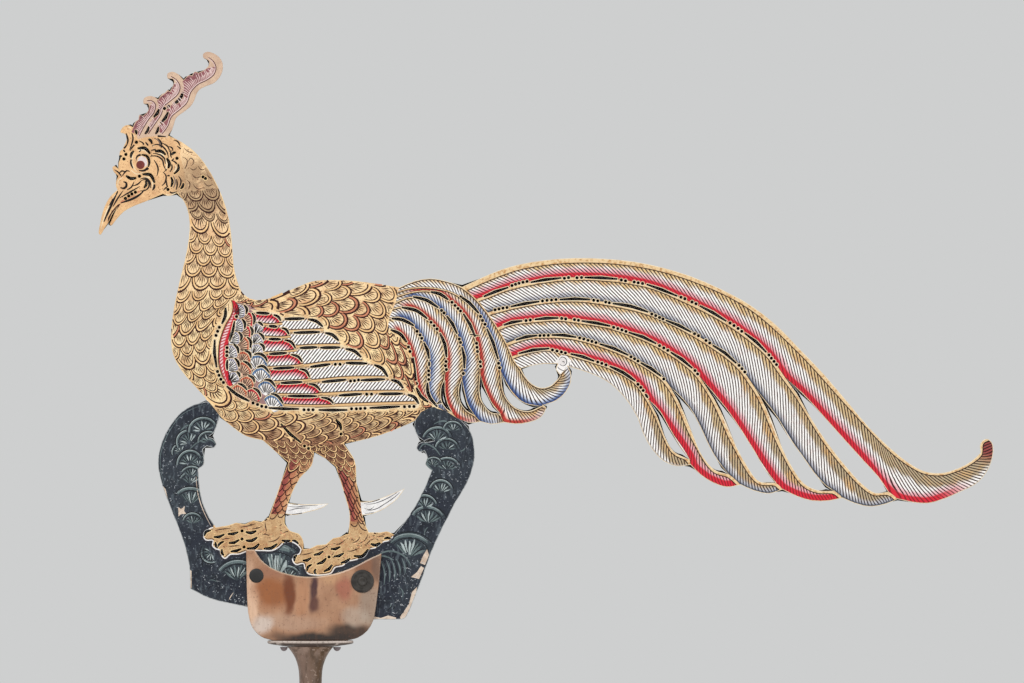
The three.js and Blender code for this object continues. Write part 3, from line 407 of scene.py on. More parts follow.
# The legs: the guide lines of each, its bare shin and the outer and inner edge of the shin's red shade
LEG_GUIDES = [
    ([(263, 440), (276, 452), (288.5, 462.5), (282, 479), (276, 497), (270, 515), (266, 528)],
     [(318, 440), (314, 452), (311, 466), (300, 478), (291.5, 494), (285.3, 512), (284, 524)]),
    ([(314, 444), (325, 458.3), (336, 466.5), (340.5, 481), (345.5, 498), (349, 514), (349, 528)],
     [(346, 444), (354.7, 461), (356.5, 483), (360.5, 504), (363.2, 518), (366, 526.5), (370, 533)]),
]
SHINS = [[(272, 462), (314, 462), (290.5, 494), (285.5, 512), (284, 526), (262, 526)],
         [(330, 462), (358, 462), (359.5, 500), (362, 514), (366, 526), (370, 531), (345, 530), (342, 490)]]
SHIN_SHADES = [([(289, 459), (282, 477), (275, 497), (268, 517), (267, 523)],
                [(301, 461), (294, 477), (287, 494), (281, 511), (278, 524)]),
               ([(333, 464), (340, 481), (345, 498), (349, 514), (349, 521)],
                [(350, 468), (353, 484), (356.5, 502), (358, 512), (358, 522)])]
SPUR_OUTLINES = [[(292, 504.8), (304, 504.3), (320, 503.2), (335, 501)],
                 [(290, 514.5), (302, 513), (318, 509.5), (332, 505)],
                 [(364, 503.5), (378, 500), (394, 492.5), (406, 484.5)],
                 [(365, 513.5), (380, 511), (396, 503), (409, 491)]]
SPUR_STROKES = [[(287, 506), (296, 507), (304, 506), (318, 505.5)], [(288, 511), (297, 508.5), (310, 508)],
                [(293, 504.2), (304, 503.6), (322, 504)], [(366, 504.5), (376, 503), (388, 498), (399, 491)],
                [(366, 511), (377, 508.5), (386, 503)], [(364, 508), (370, 509.5), (374, 506.5)],
                [(380, 506.5), (390, 500.5), (400, 492.5)]]
LEFT_FOOT = [(268, 514), (284, 514), (300, 530), (310, 546), *LEFT_FOOT_EDGE, (214, 522), (240, 516)]
RIGHT_FOOT = [(349, 526), (362, 522), (372, 528), (400, 526), *RIGHT_FOOT_EDGE, (303, 545), (320, 538)]
FOOT_STROKES = [
    [(265, 522), (265.5, 527), (267, 532)],
    [(262, 534), (268, 534.5)],
    [(283, 533), (290, 531), (298, 533)],
    [(280, 536), (276, 540), (268, 542)],
    [(368, 534), (365, 540), (358, 544)],
    [(346, 539), (341, 543), (336, 545)],
    [(352, 543), (357, 541), (360, 537)],
    [(376, 537), (382, 536), (388, 537)],
    [(359, 548), (352, 551), (347, 551)],
    [(328, 545), (322, 549), (316, 550)],
    [(215, 530.5), (223, 529), (231, 528.5)],
    [(240, 527), (248, 526), (256, 523.5)],
    [(222, 540), (226, 538.5), (230, 538.5)],
    [(228, 547), (234, 546), (240, 545.5)],
    [(252, 529), (258, 528), (262, 526)],
    [(301, 555), (307, 554), (312, 552.5)],
    [(322, 560.5), (328, 559), (334, 552)],
    [(366, 545), (371, 540), (376, 538.5)],
]
# The middle of each patch of flecks on the feet
FOOT_FLECKS = [(255, 534), (275, 533), (232, 540), (330, 552), (350, 543), (372, 538)]

# The ground's round leaves: centre, radius, first and last angle in degrees, rays
FANS = [(193, 524, 11, 20, 160), (191, 505, 18, 35, 140, 7), (190, 484, 12, 20, 150), (191, 477, 11, 25, 150),
        (199, 466, 11, 20, 170), (190, 464, 13.5, 30, 185, 7), (181, 452, 9, 60, 200),
        (190, 443, 13.5, 50, 200, 7), (209, 442, 11, 25, 185), (203, 431, 14, 15, 185, 7),
        (237, 581, 21, 35, 150, 8), (212, 552, 11, 150, 290), (289, 578, 12, 30, 150),
        (276, 582, 36, 55, 118, 9), (409, 558, 25, 20, 140, 8), (428, 524, 18, 20, 150, 7),
        (425, 508, 13, 20, 150), (441, 493, 13, 15, 155, 7), (447, 470, 13, 10, 165, 7),
        (433, 466, 9, 20, 160), (447, 450, 12, 5, 165), (437, 441, 14.5, 15, 165, 7), (453, 431, 10, 10, 165)]
REED_COUNT, REED_PLACE, REED_STEP = 5, (381, 561), (5.2, -0.8)
# Patches of brush marks: centre and how far they spread upwards and downwards
MARK_PATCHES = [(172, 455, 20), (172, 500, 20), (205, 560, 9), (215, 590, 8), (452, 470, 16), (430, 530, 14),
                (392, 600, 8)]
CHALK_PATCHES = [(168, 462), (174, 500), (215, 580), (403, 596), (452, 470), (240, 600), (415, 575)]
LEAF_STROKES = [
    [(190, 449), (200, 441), (210, 439.5), (215.5, 444)],
    [(419, 450), (424, 444), (433, 447), (440, 455)],
    [(424, 452), (428, 459), (427, 464), (433, 470)],
    [(262, 548), (274, 545), (286, 546), (295, 553)],
    [(286, 571), (296, 566), (307, 568)],
    [(376, 556), (390, 551), (404, 556), (411, 566)],
    [(372, 560), (382, 556), (394, 560)],
    [(434, 424), (444, 421), (455, 427)],
    [(180, 432), (186, 426), (193, 425)],
]
ARM_STROKE = [(206, 404), (183, 414), (172, 427), (164, 443), (160.4, 456), (160.8, 470), (164, 485)]
ARM_SCRATCH = [(196, 476), (198, 494), (203, 510), (211, 526)]
SLAB_SCRATCH = [(229, 600), (231, 596), (233.5, 592.5)]
# Where the paint has come off the leather
BARE_PATCHES = [
    [(178, 507), (181, 509), (185, 506), (184, 511), (186.5, 514), (181, 514), (178.5, 516.5),
     (178.5, 511.5)],
    [(427, 549), (429, 555), (425, 565), (420, 563), (423, 556)],
    [(421, 566), (424, 568), (419, 579), (411, 577), (417, 572)],
    [(417, 587), (415, 600), (406, 617), (401, 621), (400, 617), (409, 604), (412, 592)],
    [(374, 616.5), (381, 618), (388, 615.5), (396, 617.5), (396, 622), (374, 622)],
    [(189, 569), (191.5, 571), (191.5, 588), (188, 589)],
    [(163, 486), (165.5, 489), (168, 500), (165.5, 500)],
    [(172.5, 512), (174.5, 517), (176.5, 526), (174, 525)],
]

# The head: the eye, the mouth, the shadow in the beak, and the carved lines
EYE_WHITE, EYE_BROWN = (143.4, 161.3, 5.6), (140.6, 164.9, 4.3)  # centre and radius
MOUTH = [(120, 202.5), (125, 197.8), (131.5, 193.8), (139, 190.5), (140.5, 191.8), (133, 196.6), (126, 200.6),
         (121.5, 203.6)]
BEAK_SHADOW = [(108, 224), (108, 218), (112, 211), (118, 204.5), (121, 203.5), (117, 210), (112, 217.5),
               (110, 223)]
HEAD_LIGHTS = [
    [(144, 177), (150, 178.3), (152.8, 184), (151.8, 189)],
    [(131, 170), (137, 174), (143, 172.3)],
    [(133.2, 155.5), (131.8, 161), (134, 168), (138, 172.5)],
    [(138.5, 150.8), (143.5, 150.3), (148, 154)],
    [(165.6, 160), (167, 165), (165.8, 169.5)],
    [(157, 154), (161, 153.8), (164.5, 156.6)],
    [(150, 140), (153, 143), (153.6, 147)],
    [(128, 127), (132.5, 130), (134.3, 137)],
    [(175.5, 165), (176, 169), (173, 172)],
    [(164, 194), (170, 195), (176, 192.5)],
    [(118.2, 186), (118.6, 180.5), (123, 177.5)],
    [(101, 229), (104, 218), (109, 206), (116, 194)],
]
HEAD_SHADES = [[(154, 138), (159, 141.5), (160, 149)], [(173.3, 176), (175.3, 182), (173.3, 188)],
               [(136.2, 161), (137.6, 156), (142, 153.6)], [(190, 160), (192.5, 163), (190, 166)]]
HEAD_BOLD = [
    [(139, 152), (143.5, 149.3), (149, 151.5), (152.2, 156)],
    [(132.5, 157), (131, 162), (133, 168.5)],
    [(136, 159), (137.8, 156), (142, 154.8), (146.5, 156.4), (149.4, 160.5)],
    [(149.4, 161), (148.6, 166.5), (144, 170.6), (139, 170.4)],
    [(138, 139), (145, 137), (155, 136.2), (166, 136.8)],
    [(123.3, 181.8), (126.2, 183), (126, 186.7), (123.3, 188.4), (120.6, 187.4)],
    [(118, 191), (114, 199), (110, 208), (106, 217), (104, 222)],
    [(149.4, 158), (149.8, 164), (147.5, 169), (143, 170.6)],
    [(121, 203), (128, 200.6), (134.5, 197.8), (141, 193.6), (144.5, 189.5)],
    [(154.3, 183), (154.2, 187), (152.6, 190.5)],
]
HEAD_FINE = [
    [(152, 146), (157, 144.5), (163, 147), (167, 152), (168.5, 158)],
    [(166, 155), (168.5, 161), (167.6, 168), (164, 172)],
    [(163, 172), (166, 176), (165.2, 182), (162, 186)],
    [(172, 160.5), (176, 163), (178.4, 168)],
    [(168, 190), (172, 193), (177, 191.5)],
    [(184, 139.5), (188, 145), (187, 150)],
    [(177, 146), (181, 150), (180, 155)],
    [(174, 140), (178, 142), (180, 146)],
    [(119, 174), (122, 171), (126, 172.5)],
    [(128, 143), (125, 147.5), (122, 150)],
    [(139, 141), (143.5, 144), (142, 148)],
    [(126, 133), (128, 140), (126, 147)],
    [(131, 131), (133, 138), (131.5, 145), (129.5, 150)],
    [(137, 142.5), (133, 146.5), (130, 151)],
    [(122, 148), (125, 152), (128, 155)],
    [(120.5, 155), (122.5, 157.5), (124, 158.5)],
    [(123, 191), (118, 198), (113, 207)],
    [(120, 198), (127, 193.7), (134, 189.8), (140, 186.5)],
    [(140, 179.3), (146, 178.3), (150.3, 182.5), (150.6, 188)],
    [(141, 181), (145, 179.6), (148.6, 182), (149, 186.5), (146, 190), (140, 191)],
    [(153, 153.5), (160, 154.8), (164.3, 158.5), (165.4, 164)],
    [(150, 156.5), (157, 156.3), (162.3, 160), (164, 166), (166.5, 171)],
    [(150, 151), (156, 149.6), (163, 150.6)],
    [(157.5, 138), (161.3, 143), (160.8, 149.5)],
    [(145.5, 142), (148.3, 146)],
    [(171, 150), (170.6, 154), (171.5, 158)],
    [(162, 143), (168, 147), (169.5, 152)],
    [(169, 146.5), (172, 148), (173, 151)],
    [(171, 162), (174, 158.3)],
    [(179.5, 157), (184.5, 158.5), (186, 163)],
    [(170, 172), (172, 168), (171.5, 163)],
    [(167, 176), (170, 175.2)],
    [(166.5, 180), (166.8, 185), (168.5, 188)],
    [(163.5, 190.5), (167, 187.3), (170.8, 190)],
    [(176, 190), (177.2, 185), (176.4, 179)],
    [(178.5, 176), (181, 181), (179, 188)],
    [(115, 170), (118.5, 172.5), (122, 177)],
    [(130, 171.5), (126.5, 171), (122.5, 176)],
    [(133, 186), (138, 184), (141.5, 180.5)],
    [(127, 190), (131.5, 187), (134, 182)],
    [(154, 160), (158, 168), (157, 176)],
    [(109, 206), (113, 199.5), (118, 192.5)],
]

# The crest's plumes: the spine from root to tip, and how far the vane and the hem reach from it
PLUMES = [
    ([(162, 134), (168, 126), (171.5, 117), (180, 109.5), (187, 102.5), (191, 92), (198, 84.5), (206, 80.5),
      (213.5, 75), (216, 68), (213.5, 61.5), (208.5, 57.5)], 13, 6.5),
    ([(148.5, 134), (155, 124), (161, 115), (164, 106.5), (171, 100.5), (178, 94), (180, 87), (177, 80.5),
      (171, 76.5)], 9, 4),
    ([(139.5, 136), (144, 127), (149, 119), (154, 112.5), (155.5, 104.5), (152, 101), (147, 101)], 9, 3.2),
]
CREST_STROKES = [
    [(146, 134), (151, 127), (155, 120)],
    [(155.5, 134), (160, 127), (164.5, 121)],
    [(141, 129), (143.5, 126)],
    [(184, 79.5), (188.5, 78.3), (190.5, 81)],
    [(193, 76), (196, 74.5), (197.5, 77.5)],
    [(161, 98), (163.5, 96.5), (165, 99)],
    [(166.5, 93.5), (169, 92.5), (170, 95)],
    [(139, 117), (141.5, 116), (142.5, 119)],
    [(164, 104), (160.5, 110), (158, 114)],
]

BASE_PAINT = {"ground": "slate", "legs": "gold", "coverts": "gold", "tail": "white", "head": "head_gold",
              "crest": "cream_pink", "wing": "gold", "body": "gold", "left_spur": "bone",
              "right_spur": "bone"}
RIM_PAINT = {"ground": "slate_rim", "body": "gold_rim", "head": "head_rim", "legs": "gold_rim",
             "crest": "cream_pink"}

# Colours as they look on the object, red, green and blue from 0 to 255: the paint, then its mottling
COLOURS = {
    "gold": ((255, 227, 175), (194, 140, 90)),
    "head_gold": ((238, 196, 136), (176, 128, 74)),
    "head_rim": ((240, 204, 154), (190, 142, 96)),
    "foot_gold": ((255, 222, 166), (192, 140, 86)),
    "cream": ((246, 226, 190), (214, 180, 138)),
    "white": ((250, 247, 244), (214, 206, 204)),
    "peach": ((232, 190, 160), (212, 156, 128)),
    "grey": ((196, 192, 206), (130, 126, 148)),
    "blue": ((104, 134, 172), (60, 88, 128)),
    "crimson": ((204, 48, 60), (160, 34, 44)),
    "rose": ((222, 140, 146), (204, 108, 116)),
    "orange": ((212, 116, 84), (184, 80, 60)),
    "shin": ((208, 154, 112), (146, 98, 66)),
    "leg_red": ((164, 84, 74), (112, 50, 44)),
    "leg_rose": ((190, 124, 92), (142, 84, 60)),
    "lobe_shade": ((176, 140, 136), (120, 84, 86)),
    "leaf_light": ((178, 190, 190), (124, 138, 138)),
    "gold_rim": ((252, 220, 166), (206, 156, 104)),
    "worn_rim": ((190, 160, 122), (150, 120, 88)),
    "bone": ((242, 240, 238), (210, 208, 210)),
    "slate": ((38, 43, 55), (15, 19, 28)),
    "leaf_shade": ((54, 63, 70), (30, 37, 44)),
    "leaf": ((104, 119, 120), (70, 83, 86)),
    "ground_ink": ((16, 19, 26), (12, 14, 20)),
    "chalk": ((206, 210, 214), (150, 156, 162)),
    "dusk": ((124, 106, 96), (92, 76, 70)),
    "slate_ink": ((44, 42, 52), (30, 28, 36)),
    "raw_hide": ((222, 204, 186), (178, 152, 132)),
    "pink": ((198, 160, 146), (170, 124, 116)),
    "cream_pink": ((216, 186, 160), (190, 156, 134)),
    "barb_pink": ((232, 208, 202), (206, 170, 166)),
    "plum": ((150, 94, 98), (118, 66, 74)),
    "plum_ink": ((92, 48, 54), (70, 34, 42)),
    "eye_white": ((228, 214, 210), (206, 184, 178)),
    "eye_brown": ((128, 62, 54), (94, 38, 36)),
    "ink": ((22, 9, 8), (14, 6, 6)),
    "scale_rim": ((252, 212, 156), (220, 170, 112)),
    "rose_rim": ((212, 140, 106), (176, 108, 80)),
    "umber": ((58, 18, 10), (36, 12, 8)),
    "rim": ((248, 230, 198), (216, 186, 146)),
    "edge": ((200, 166, 118), (156, 118, 78)),
    "slate_rim": ((192, 196, 196), (66, 72, 80)),
    # cut: the narrowed cut walls, near black and without shine, painted shade so the cuts read as dark holes
    "cut": ((16, 11, 11), (9, 7, 7)),
}
# How the feathers are painted: how wide the ochre wash is and how much wider it grows towards the tip,
# where a dark line runs beside the upper and the lower edge, and bands of colour by their distance from
# an edge, each (edge, full up to here, gone from here on, red, green, blue)
ROSE, CRIMSON, STRAW = (240, 172, 180), (216, 40, 58), (226, 184, 132)
FEATHERS = {
    "tail_first": (3.0, 8, 5.8, None, [("low", 5.8, 11.0, *ROSE), ("low", 3.5, 5.7, *CRIMSON)]),
    "tail_red": (0.5, 9, 3.2, None, [("low", 5.8, 11.0, *ROSE), ("low", 3.5, 5.7, *CRIMSON)]),
    "tail_grey": (0.5, 9, 3.2, None, [("low", 3, 8.0, 186, 186, 194), ("low", 1.0, 3.2, 78, 86, 104)]),
    "tail_plain": (0, 7, 2.7, None, [("low", 0.5, 2.0, 196, 190, 190)]),
    "covert_red": (-0.5, 3, 1.5, None, [("low", 4.4, 7.0, 236, 186, 170), ("low", 3.0, 4.6, 190, 62, 52)]),
    "covert_blue": (-0.5, 3, 1.5, None, [("low", 3.5, 8.5, 178, 190, 216), ("low", 1.8, 5.0, 66, 88, 140)]),
    "covert_top": (-0.5, 4, 1.5, None, [("low", 3.5, 7.5, 178, 190, 216), ("low", 1.8, 4.5, 66, 88, 140)]),
    "wing_white": (0, 0, None, 3.5, [("up", 1.0, 2.2, 190, 178, 196), ("low", 3.3, 4.0, *STRAW)]),
    "wing_red": (0, 0, None, 2.8, [("up", 5.5, 9.5, *ROSE), ("up", 3.8, 6.0, *CRIMSON),
                                   ("low", 2.5, 3.2, *STRAW)]),
    "wing_band": (0, 0, 1.0, None, [("up", 9.0, 12.0, 244, 206, 206), ("low", 3.4, 5.0, *CRIMSON)]),
}

NAPE = (203, 186)  # where the gold is rubbed off
BELLY_SHADE = (398, 450)  # the gold darkens from here down to there

# Clouds in the horn, with painted highlight and painted shade: centre and half size in the drawing, strength,
# colour
HORN_CLOUDS_AND_PAINTED_LIGHT = [
    # painted highlight along the plate's left edge
    ((250, 600), (8, 40), 0.85, (228, 190, 160)),
    ((271, 592), (23, 20), 0.9, (150, 84, 34)),
    ((270, 571), (20, 7), 0.7, (156, 106, 80)),
    ((289, 594), (6.5, 29), 0.97, (112, 52, 10)),
    ((302, 600), (8, 26), 0.6, (180, 124, 86)),
    ((312.5, 586), (5, 17), 0.97, (58, 22, 32)),
    ((314.5, 604), (6, 10), 0.9, (74, 30, 28)),
    ((332, 574), (13, 11), 0.6, (206, 160, 118)),
    ((345, 588), (9, 15), 0.75, (164, 92, 72)),
    ((366, 566), (14, 11), 0.85, (132, 86, 58)),
    ((378, 567), (6, 16), 0.7, (98, 74, 62)),
    ((371, 606), (12, 26), 0.8, (152, 134, 118)),
    ((288, 622), (40, 8), 0.6, (190, 156, 132)),
    # these two: painted shade along the lower edge, where the plate turns under
    ((322, 638), (56, 8), 0.98, (30, 20, 14)),
    ((350, 630), (26, 9), 0.92, (40, 26, 16)),
    ((262, 624), (13, 11), 0.85, (214, 198, 186)),
    ((357, 616), (14, 10), 0.6, (184, 168, 152)),
]

# The metal and the handle, in metres
SHANK_RADIUS = 0.0019
PEEN_RADIUS = 0.0026
DIMPLE_DEPTH = 0.0003
WASHER_BORE = 0.0022
TENON_GAP = 0.0003
# The collar's side from its foot up: share of its thickness, share of the way out from the stem to its rim
COLLAR_ROLL = [(0, 0), (0.14, 0.35), (0.3, 0.7), (0.44, 0.93), (0.58, 1), (0.86, 1), (0.96, 0.985),
               (1.0, 0.95)]

# The stage: a pale floor under the handle's tip, soft lamps and a camera
STAGE_CENTRE = (0.1, 0, 0.35)
LAMPS = [  # name, place, power, size
    ("key", (-0.9, -1.9, 1.5), 25, 1.2),
    ("fill", (1.3, -1.6, 0.7), 12, 1.4),
    ("back", (0.4, 1.8, 1.3), 18, 1.2),
]
VIEW_CENTRE = (512, 341.5)
VIEW_WIDTH = 1024
CAMERA_DISTANCE = 3.2
SENSOR = 36.0


def interpolate(at, s, rows):
    """The rows of numbers that hold at s, taken at other places."""
    return np.column_stack([np.interp(at, s, column) for column in rows.T])


def smooth(points, step=POINT_STEP):
    """A smooth curve through the points, with a point about every step."""
    p = np.array(points, float)
    chord = np.linalg.norm(np.diff(p, axis=0), axis=1)
    if len(p) == 2:
        share = np.linspace(0, 1, max(2, math.ceil(chord[0] / step) + 1))[:, None]
        return p[0] * (1 - share) + p[1] * share
    h = np.sqrt(chord)[:, None]
    speed = np.diff(p, axis=0) / h
    inner = (speed[:-1] * h[1:] + speed[1:] * h[:-1]) / (h[:-1] + h[1:])
    tangent = np.vstack([speed[:1] * 1.5 - inner[:1] * 0.5, inner, speed[-1:] * 1.5 - inner[-1:] * 0.5])
    rows = []
    for i in range(len(chord)):
        t = np.linspace(0, 1, max(2, math.ceil(chord[i] / step)) + 1)[:-1, None]
        rows.append((2 * t**3 - 3 * t**2 + 1) * p[i] + (t**3 - 2 * t**2 + t) * h[i] * tangent[i]
                    + (3 * t**2 - 2 * t**3) * p[i + 1] + (t**3 - t**2) * h[i] * tangent[i + 1])
    return np.vstack(rows + [p[-1:]])


def lengths(line):
    """How far along the line each of its points is."""
    return np.concatenate([[0], np.cumsum(np.linalg.norm(np.diff(line, axis=0), axis=1))])


def resample(line, count):
    s = lengths(line)
    return interpolate(np.linspace(0, s[-1], count), s, line)


def directions(line):
    """The line's direction at each of its points, and the direction to the left of it."""
    ahead = np.gradient(line, axis=0)
    ahead /= np.maximum(np.linalg.norm(ahead, axis=1), 1e-9)[:, None]
    return ahead, np.column_stack([ahead[:, 1], -ahead[:, 0]])


def inside(points, rings):
    """Which points lie inside an odd number of the closed rings."""
    order = np.argsort(points[:, 1])
    u, v = points[order, 0], points[order, 1]
    odd = np.zeros(len(points), bool)
    for ring in rings:
        after = np.roll(ring, -1, 0)
        low = np.searchsorted(v, np.minimum(ring[:, 1], after[:, 1]))
        high = np.searchsorted(v, np.maximum(ring[:, 1], after[:, 1]))
        for (u0, v0), (u1, v1), i, j in zip(ring, after, low, high):
            if i < j:
                odd[i:j] ^= u[i:j] < u0 + (v[i:j] - v0) * (u1 - u0) / (v1 - v0)
    result = np.zeros(len(points), bool)
    result[order] = odd
    return result


def to_metres(points):
    """Places of the drawing on the leather, as x and z."""
    return np.column_stack([(points[:, 0] - AXIS_U) * UNIT, SEAT_Z + (SEAT_V - points[:, 1]) * UNIT])


def spot(u, v):
    return to_metres(np.array([[u, v]]))[0]


def warp(xz):
    """How far the dry leather has pulled out of its plane; nothing near the clamp."""
    away = np.hypot(xz[:, 0], xz[:, 1] - SEAT_Z - CLAMP_RISE)
    free = np.clip((away - STIFF_REACH) / (FREE_REACH - STIFF_REACH), 0, 1) ** 2
    return free * sum(height * np.sin(xz[:, axis] * rate + start) for axis, height, rate, start in WAVES)


def cut_outlines():
    """The closed outlines of the solid sheet's front, in drawing units, with the leather on one side."""
    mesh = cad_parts["figure_sheet"].data
    place = [(round(c.co.x, 7), round(c.co.z, 7)) for c in mesh.vertices]
    front = [c.co.y < SHEET_LOW.y + HALF_SHEET / 10 for c in mesh.vertices]
    edges = set()
    for polygon in mesh.polygons:
        ids = list(polygon.vertices)
        if all(front[i] for i in ids):
            ring = [place[i] for i in ids]
            edges.update((a, b) for a, b in zip(ring, ring[1:] + ring[:1]) if a != b)
    follow = {}
    for a, b in sorted(edges):
        if (b, a) not in edges:
            follow.setdefault(a, []).append(b)
    rings = []
    while follow:
        start = at = min(follow)
        ring = []
        while at in follow:
            ring.append(at)
            ahead = follow[at].pop()
            if not follow[at]:
                del follow[at]
            at = ahead
            if at == start:
                break
        points = np.array([(x / UNIT + AXIS_U, SEAT_V - (z - SEAT_Z) / UNIT) for x, z in ring])
        far = np.linalg.norm(points - np.roll(points, 1, 0), axis=1) > NEAREST_CORNERS
        if far.sum() > 3:
            rings.append(points[far])
    return rings


def area(ring):
    after = np.roll(ring, -1, 0)
    return (ring[:, 0] * after[:, 1] - after[:, 0] * ring[:, 1]).sum() / 2


def hole(ring):
    """A ring turned so that the leather lies outside it."""
    ring = np.array(ring, float)
    return ring if area(ring) > 0 else ring[::-1]


def round_hole(u, v, radius, sides=14):
    return hole([(u + radius * math.cos(a), v + radius * math.sin(a))
                 for a in np.linspace(0, 2 * math.pi, sides, endpoint=False)])


def slit(points, widest, narrowest):
    line = smooth(points, SLIT_STEP)
    share = np.linspace(0, 1, len(line))
    half = (narrowest + (widest - narrowest) * np.sin(share * math.pi))[:, None] / 2
    _, left = directions(line)
    return hole(np.vstack([line - left * half, (line + left * half)[::-1]]))


def inset(ring, distance):
    """The ring moved into the leather."""
    before = ring - np.roll(ring, 1, 0)
    before /= np.linalg.norm(before, axis=1)[:, None]
    after = np.roll(before, -1, 0)
    n1 = np.column_stack([before[:, 1], -before[:, 0]])
    n2 = np.column_stack([after[:, 1], -after[:, 0]])
    turn = np.maximum(1 + (n1 * n2).sum(1), 0.45)[:, None]  # sharp corners don't run away
    return ring + distance * (n1 + n2) / turn


class Drawing:
    """What is painted on the leather: filled shapes in painter's order, feathers and brush lines."""

    def __init__(self):
        self.fills = []
        self.feathers = []
        self.lines = []

    def fill(self, ring, paint):
        self.fills.append((np.array(ring, float), paint))

    def line(self, points, width, paint, part=None, tip=0.3):
        """A brush line, its ends as wide as the tip's share of its width; a part's line shows only there."""
        points = np.array(points, float)
        share = np.linspace(0, 1, len(points))
        widths = width * (tip + (1 - tip) * np.sin(share * math.pi))
        self.lines.append((points, widths, paint, part, np.zeros(len(points), bool)))

    def strokes(self, every, width, paint, part=None, tip=0.3, step=POINT_STEP):
        """Brush lines of one kind, each a smooth curve through its points."""
        for points in every:
            self.line(smooth(points, step), width, paint, part, tip)

    def cover(self, ring):
        """What is painted next lies over the lines so far: they end at its outline."""
        ring = np.array(ring, float)
        low, high = ring.min(0), ring.max(0)
        for points, _, _, _, hidden in self.lines:
            if (points.max(0) > low).all() and (points.min(0) < high).all():
                hidden |= inside(points, [ring])

    def feather(self, upper, lower, paint, leans, spacing, slope=None):
        """One feather between its two edges, both from root to tip. Its barbs are a spacing apart and run
        as the leans say, or all along the slope."""
        count = max(8, int(max(lengths(upper)[-1], lengths(lower)[-1]) / RUNG_STEP))
        top, bottom = resample(upper, count), resample(lower, count)
        self.fill(np.vstack([top, bottom[::-1]]), paint)
        self.feathers.append((top, bottom, leans, spacing, slope))


drawing = Drawing()


def draw_tail():
    for k, paint in enumerate(TAIL_PAINTS):
        upper = smooth(TAIL_BORDERS[k] + TAIL_UPPER_TIPS[k])
        lower = smooth(TAIL_BORDERS[k + 1] + TAIL_LOWER_TIPS[k])
        drawing.feather(upper, lower, paint, *TAIL_BARBS)


def draw_coverts():
    for k, paint in enumerate(COVERT_PAINTS):
        lower = smooth(COVERT_BORDERS[k] + COVERT_LOWER_TIPS[k])
        upper = smooth(COVERT_BORDERS[k + 1] + COVERT_UPPER_TIPS[k])
        drawing.feather(upper, lower, paint, *COVERT_BARBS)
    drawing.fill(CURL, "white")
    drawing.strokes(CURL_STROKES, 1.0, "slate_ink", None, 0.5)


def draw_wing():
    drawing.fill(SCALLOP_GROUND, "lobe_shade")
    drawing.fill(FEATHER_GROUND, "cream")
    for feathers, paint, back, drop in ((WHITE_FEATHERS, "wing_white", 22, 1),
                                        (RED_FEATHERS, "wing_red", 7, 0)):
        for edges in feathers:  # each starts further back, under what covers its root
            upper, lower = (smooth([(line[0][0] - back, line[0][1] + drop), *line]) for line in edges)
            drawing.feather(upper, lower, paint, (0, 0, 0), WING_SPACING, WING_SLOPE)
    for paint, arc in SCALLOPS:
        draw_scallop(paint, arc)
    left, right = RED_BAND
    drawing.feather(smooth(left), smooth(right), "wing_band", *BAND_BARBS)
    drawing.strokes(RED_BAND, 1.1, "ink", "wing", 0.6)
    for away, width, paint in ((2.6, 1.6, "cream"), (4.2, 1.1, "umber")):
        drawing.line(smooth([(u - away, v) for u, v in left]), width, paint, "wing", 0.6)


def draw_scallop(paint, arc):
    """A small wing covert: its free edge is the pierced arc and a little more, its root lies to the left."""
    arc = [np.array(p, float) for p in arc]
    first, last = arc[0], arc[-1]
    along = (last - first) / np.linalg.norm(last - first)
    back = np.array([-along[1], along[0]])
    root = (first + last) / 2 + back * 12.5 + along * 2.5
    edge = smooth([first - along * 2.8 + back * 8.5, first - along * 2.6 + back * 5,
                   first - along * 1.4 + back * 2, *arc,
                   last + along * 2.2 + back * 1.6, last + along * 3 + back * 6], 1.2)

    def shrunk(scale):
        return root + (edge - root) * scale

    for scale, name in ((1.0, "cream"), (0.93, paint), (0.76, LOBES[paint])):
        shape = np.vstack([shrunk(scale), [root + along * 4 * scale, root - along * 4 * scale]])
        if scale == 1.0:
            drawing.cover(shape)
        drawing.fill(shape, name)
    drawing.line(shrunk(1.0), 1.0, "umber", "wing", 0.6)
    for share in np.linspace(0.06, 0.94, 9):
        tip = edge[int(share * (len(edge) - 1))] - root
        drawing.line([root + tip * reach for reach in np.linspace(0.2, 0.93, 8)], 1.1, "ink", "wing", 0.45)


def draw_scales(left, right, part, width, rows_from, rows_to, rims=("scale_rim",)):
    """Rows of round-ended scales between two guide lines, with their free ends towards the end."""
    count = 160
    both = resample(smooth(np.hstack([left, right])), count)
    a, b = both[:, :2], both[:, 2:]
    run = lengths((a + b) / 2)

    def place(s, t):
        """The place at a share s across and a share t along."""
        k = np.clip(t, 0, 1) * (count - 1)
        i = np.minimum(k.astype(int), count - 2)
        f, s = (k - i)[:, None], s[:, None]
        return (a[i] * (1 - f) + a[i + 1] * f) * (1 - s) + (b[i] * (1 - f) + b[i + 1] * f) * s

    t, row = rows_from, 0
    while t < rows_to:
        i = int(t * (count - 1))
        across = np.linalg.norm(b[i] - a[i])
        number = max(1, round(across / width))
        size = across / number
        depth = SCALE_DEPTH * size / run[-1]
        for j in range(-1, number + 1):
            centre = (j + 0.5 + 0.5 * (row % 2)) / number + random.uniform(-0.03, 0.03)
            draw_scale(place, centre, t, 0.5 / number, depth * random.uniform(0.93, 1.06), size, part,
                       random.choice(rims))
        t += depth * SCALE_ROW
        row += 1


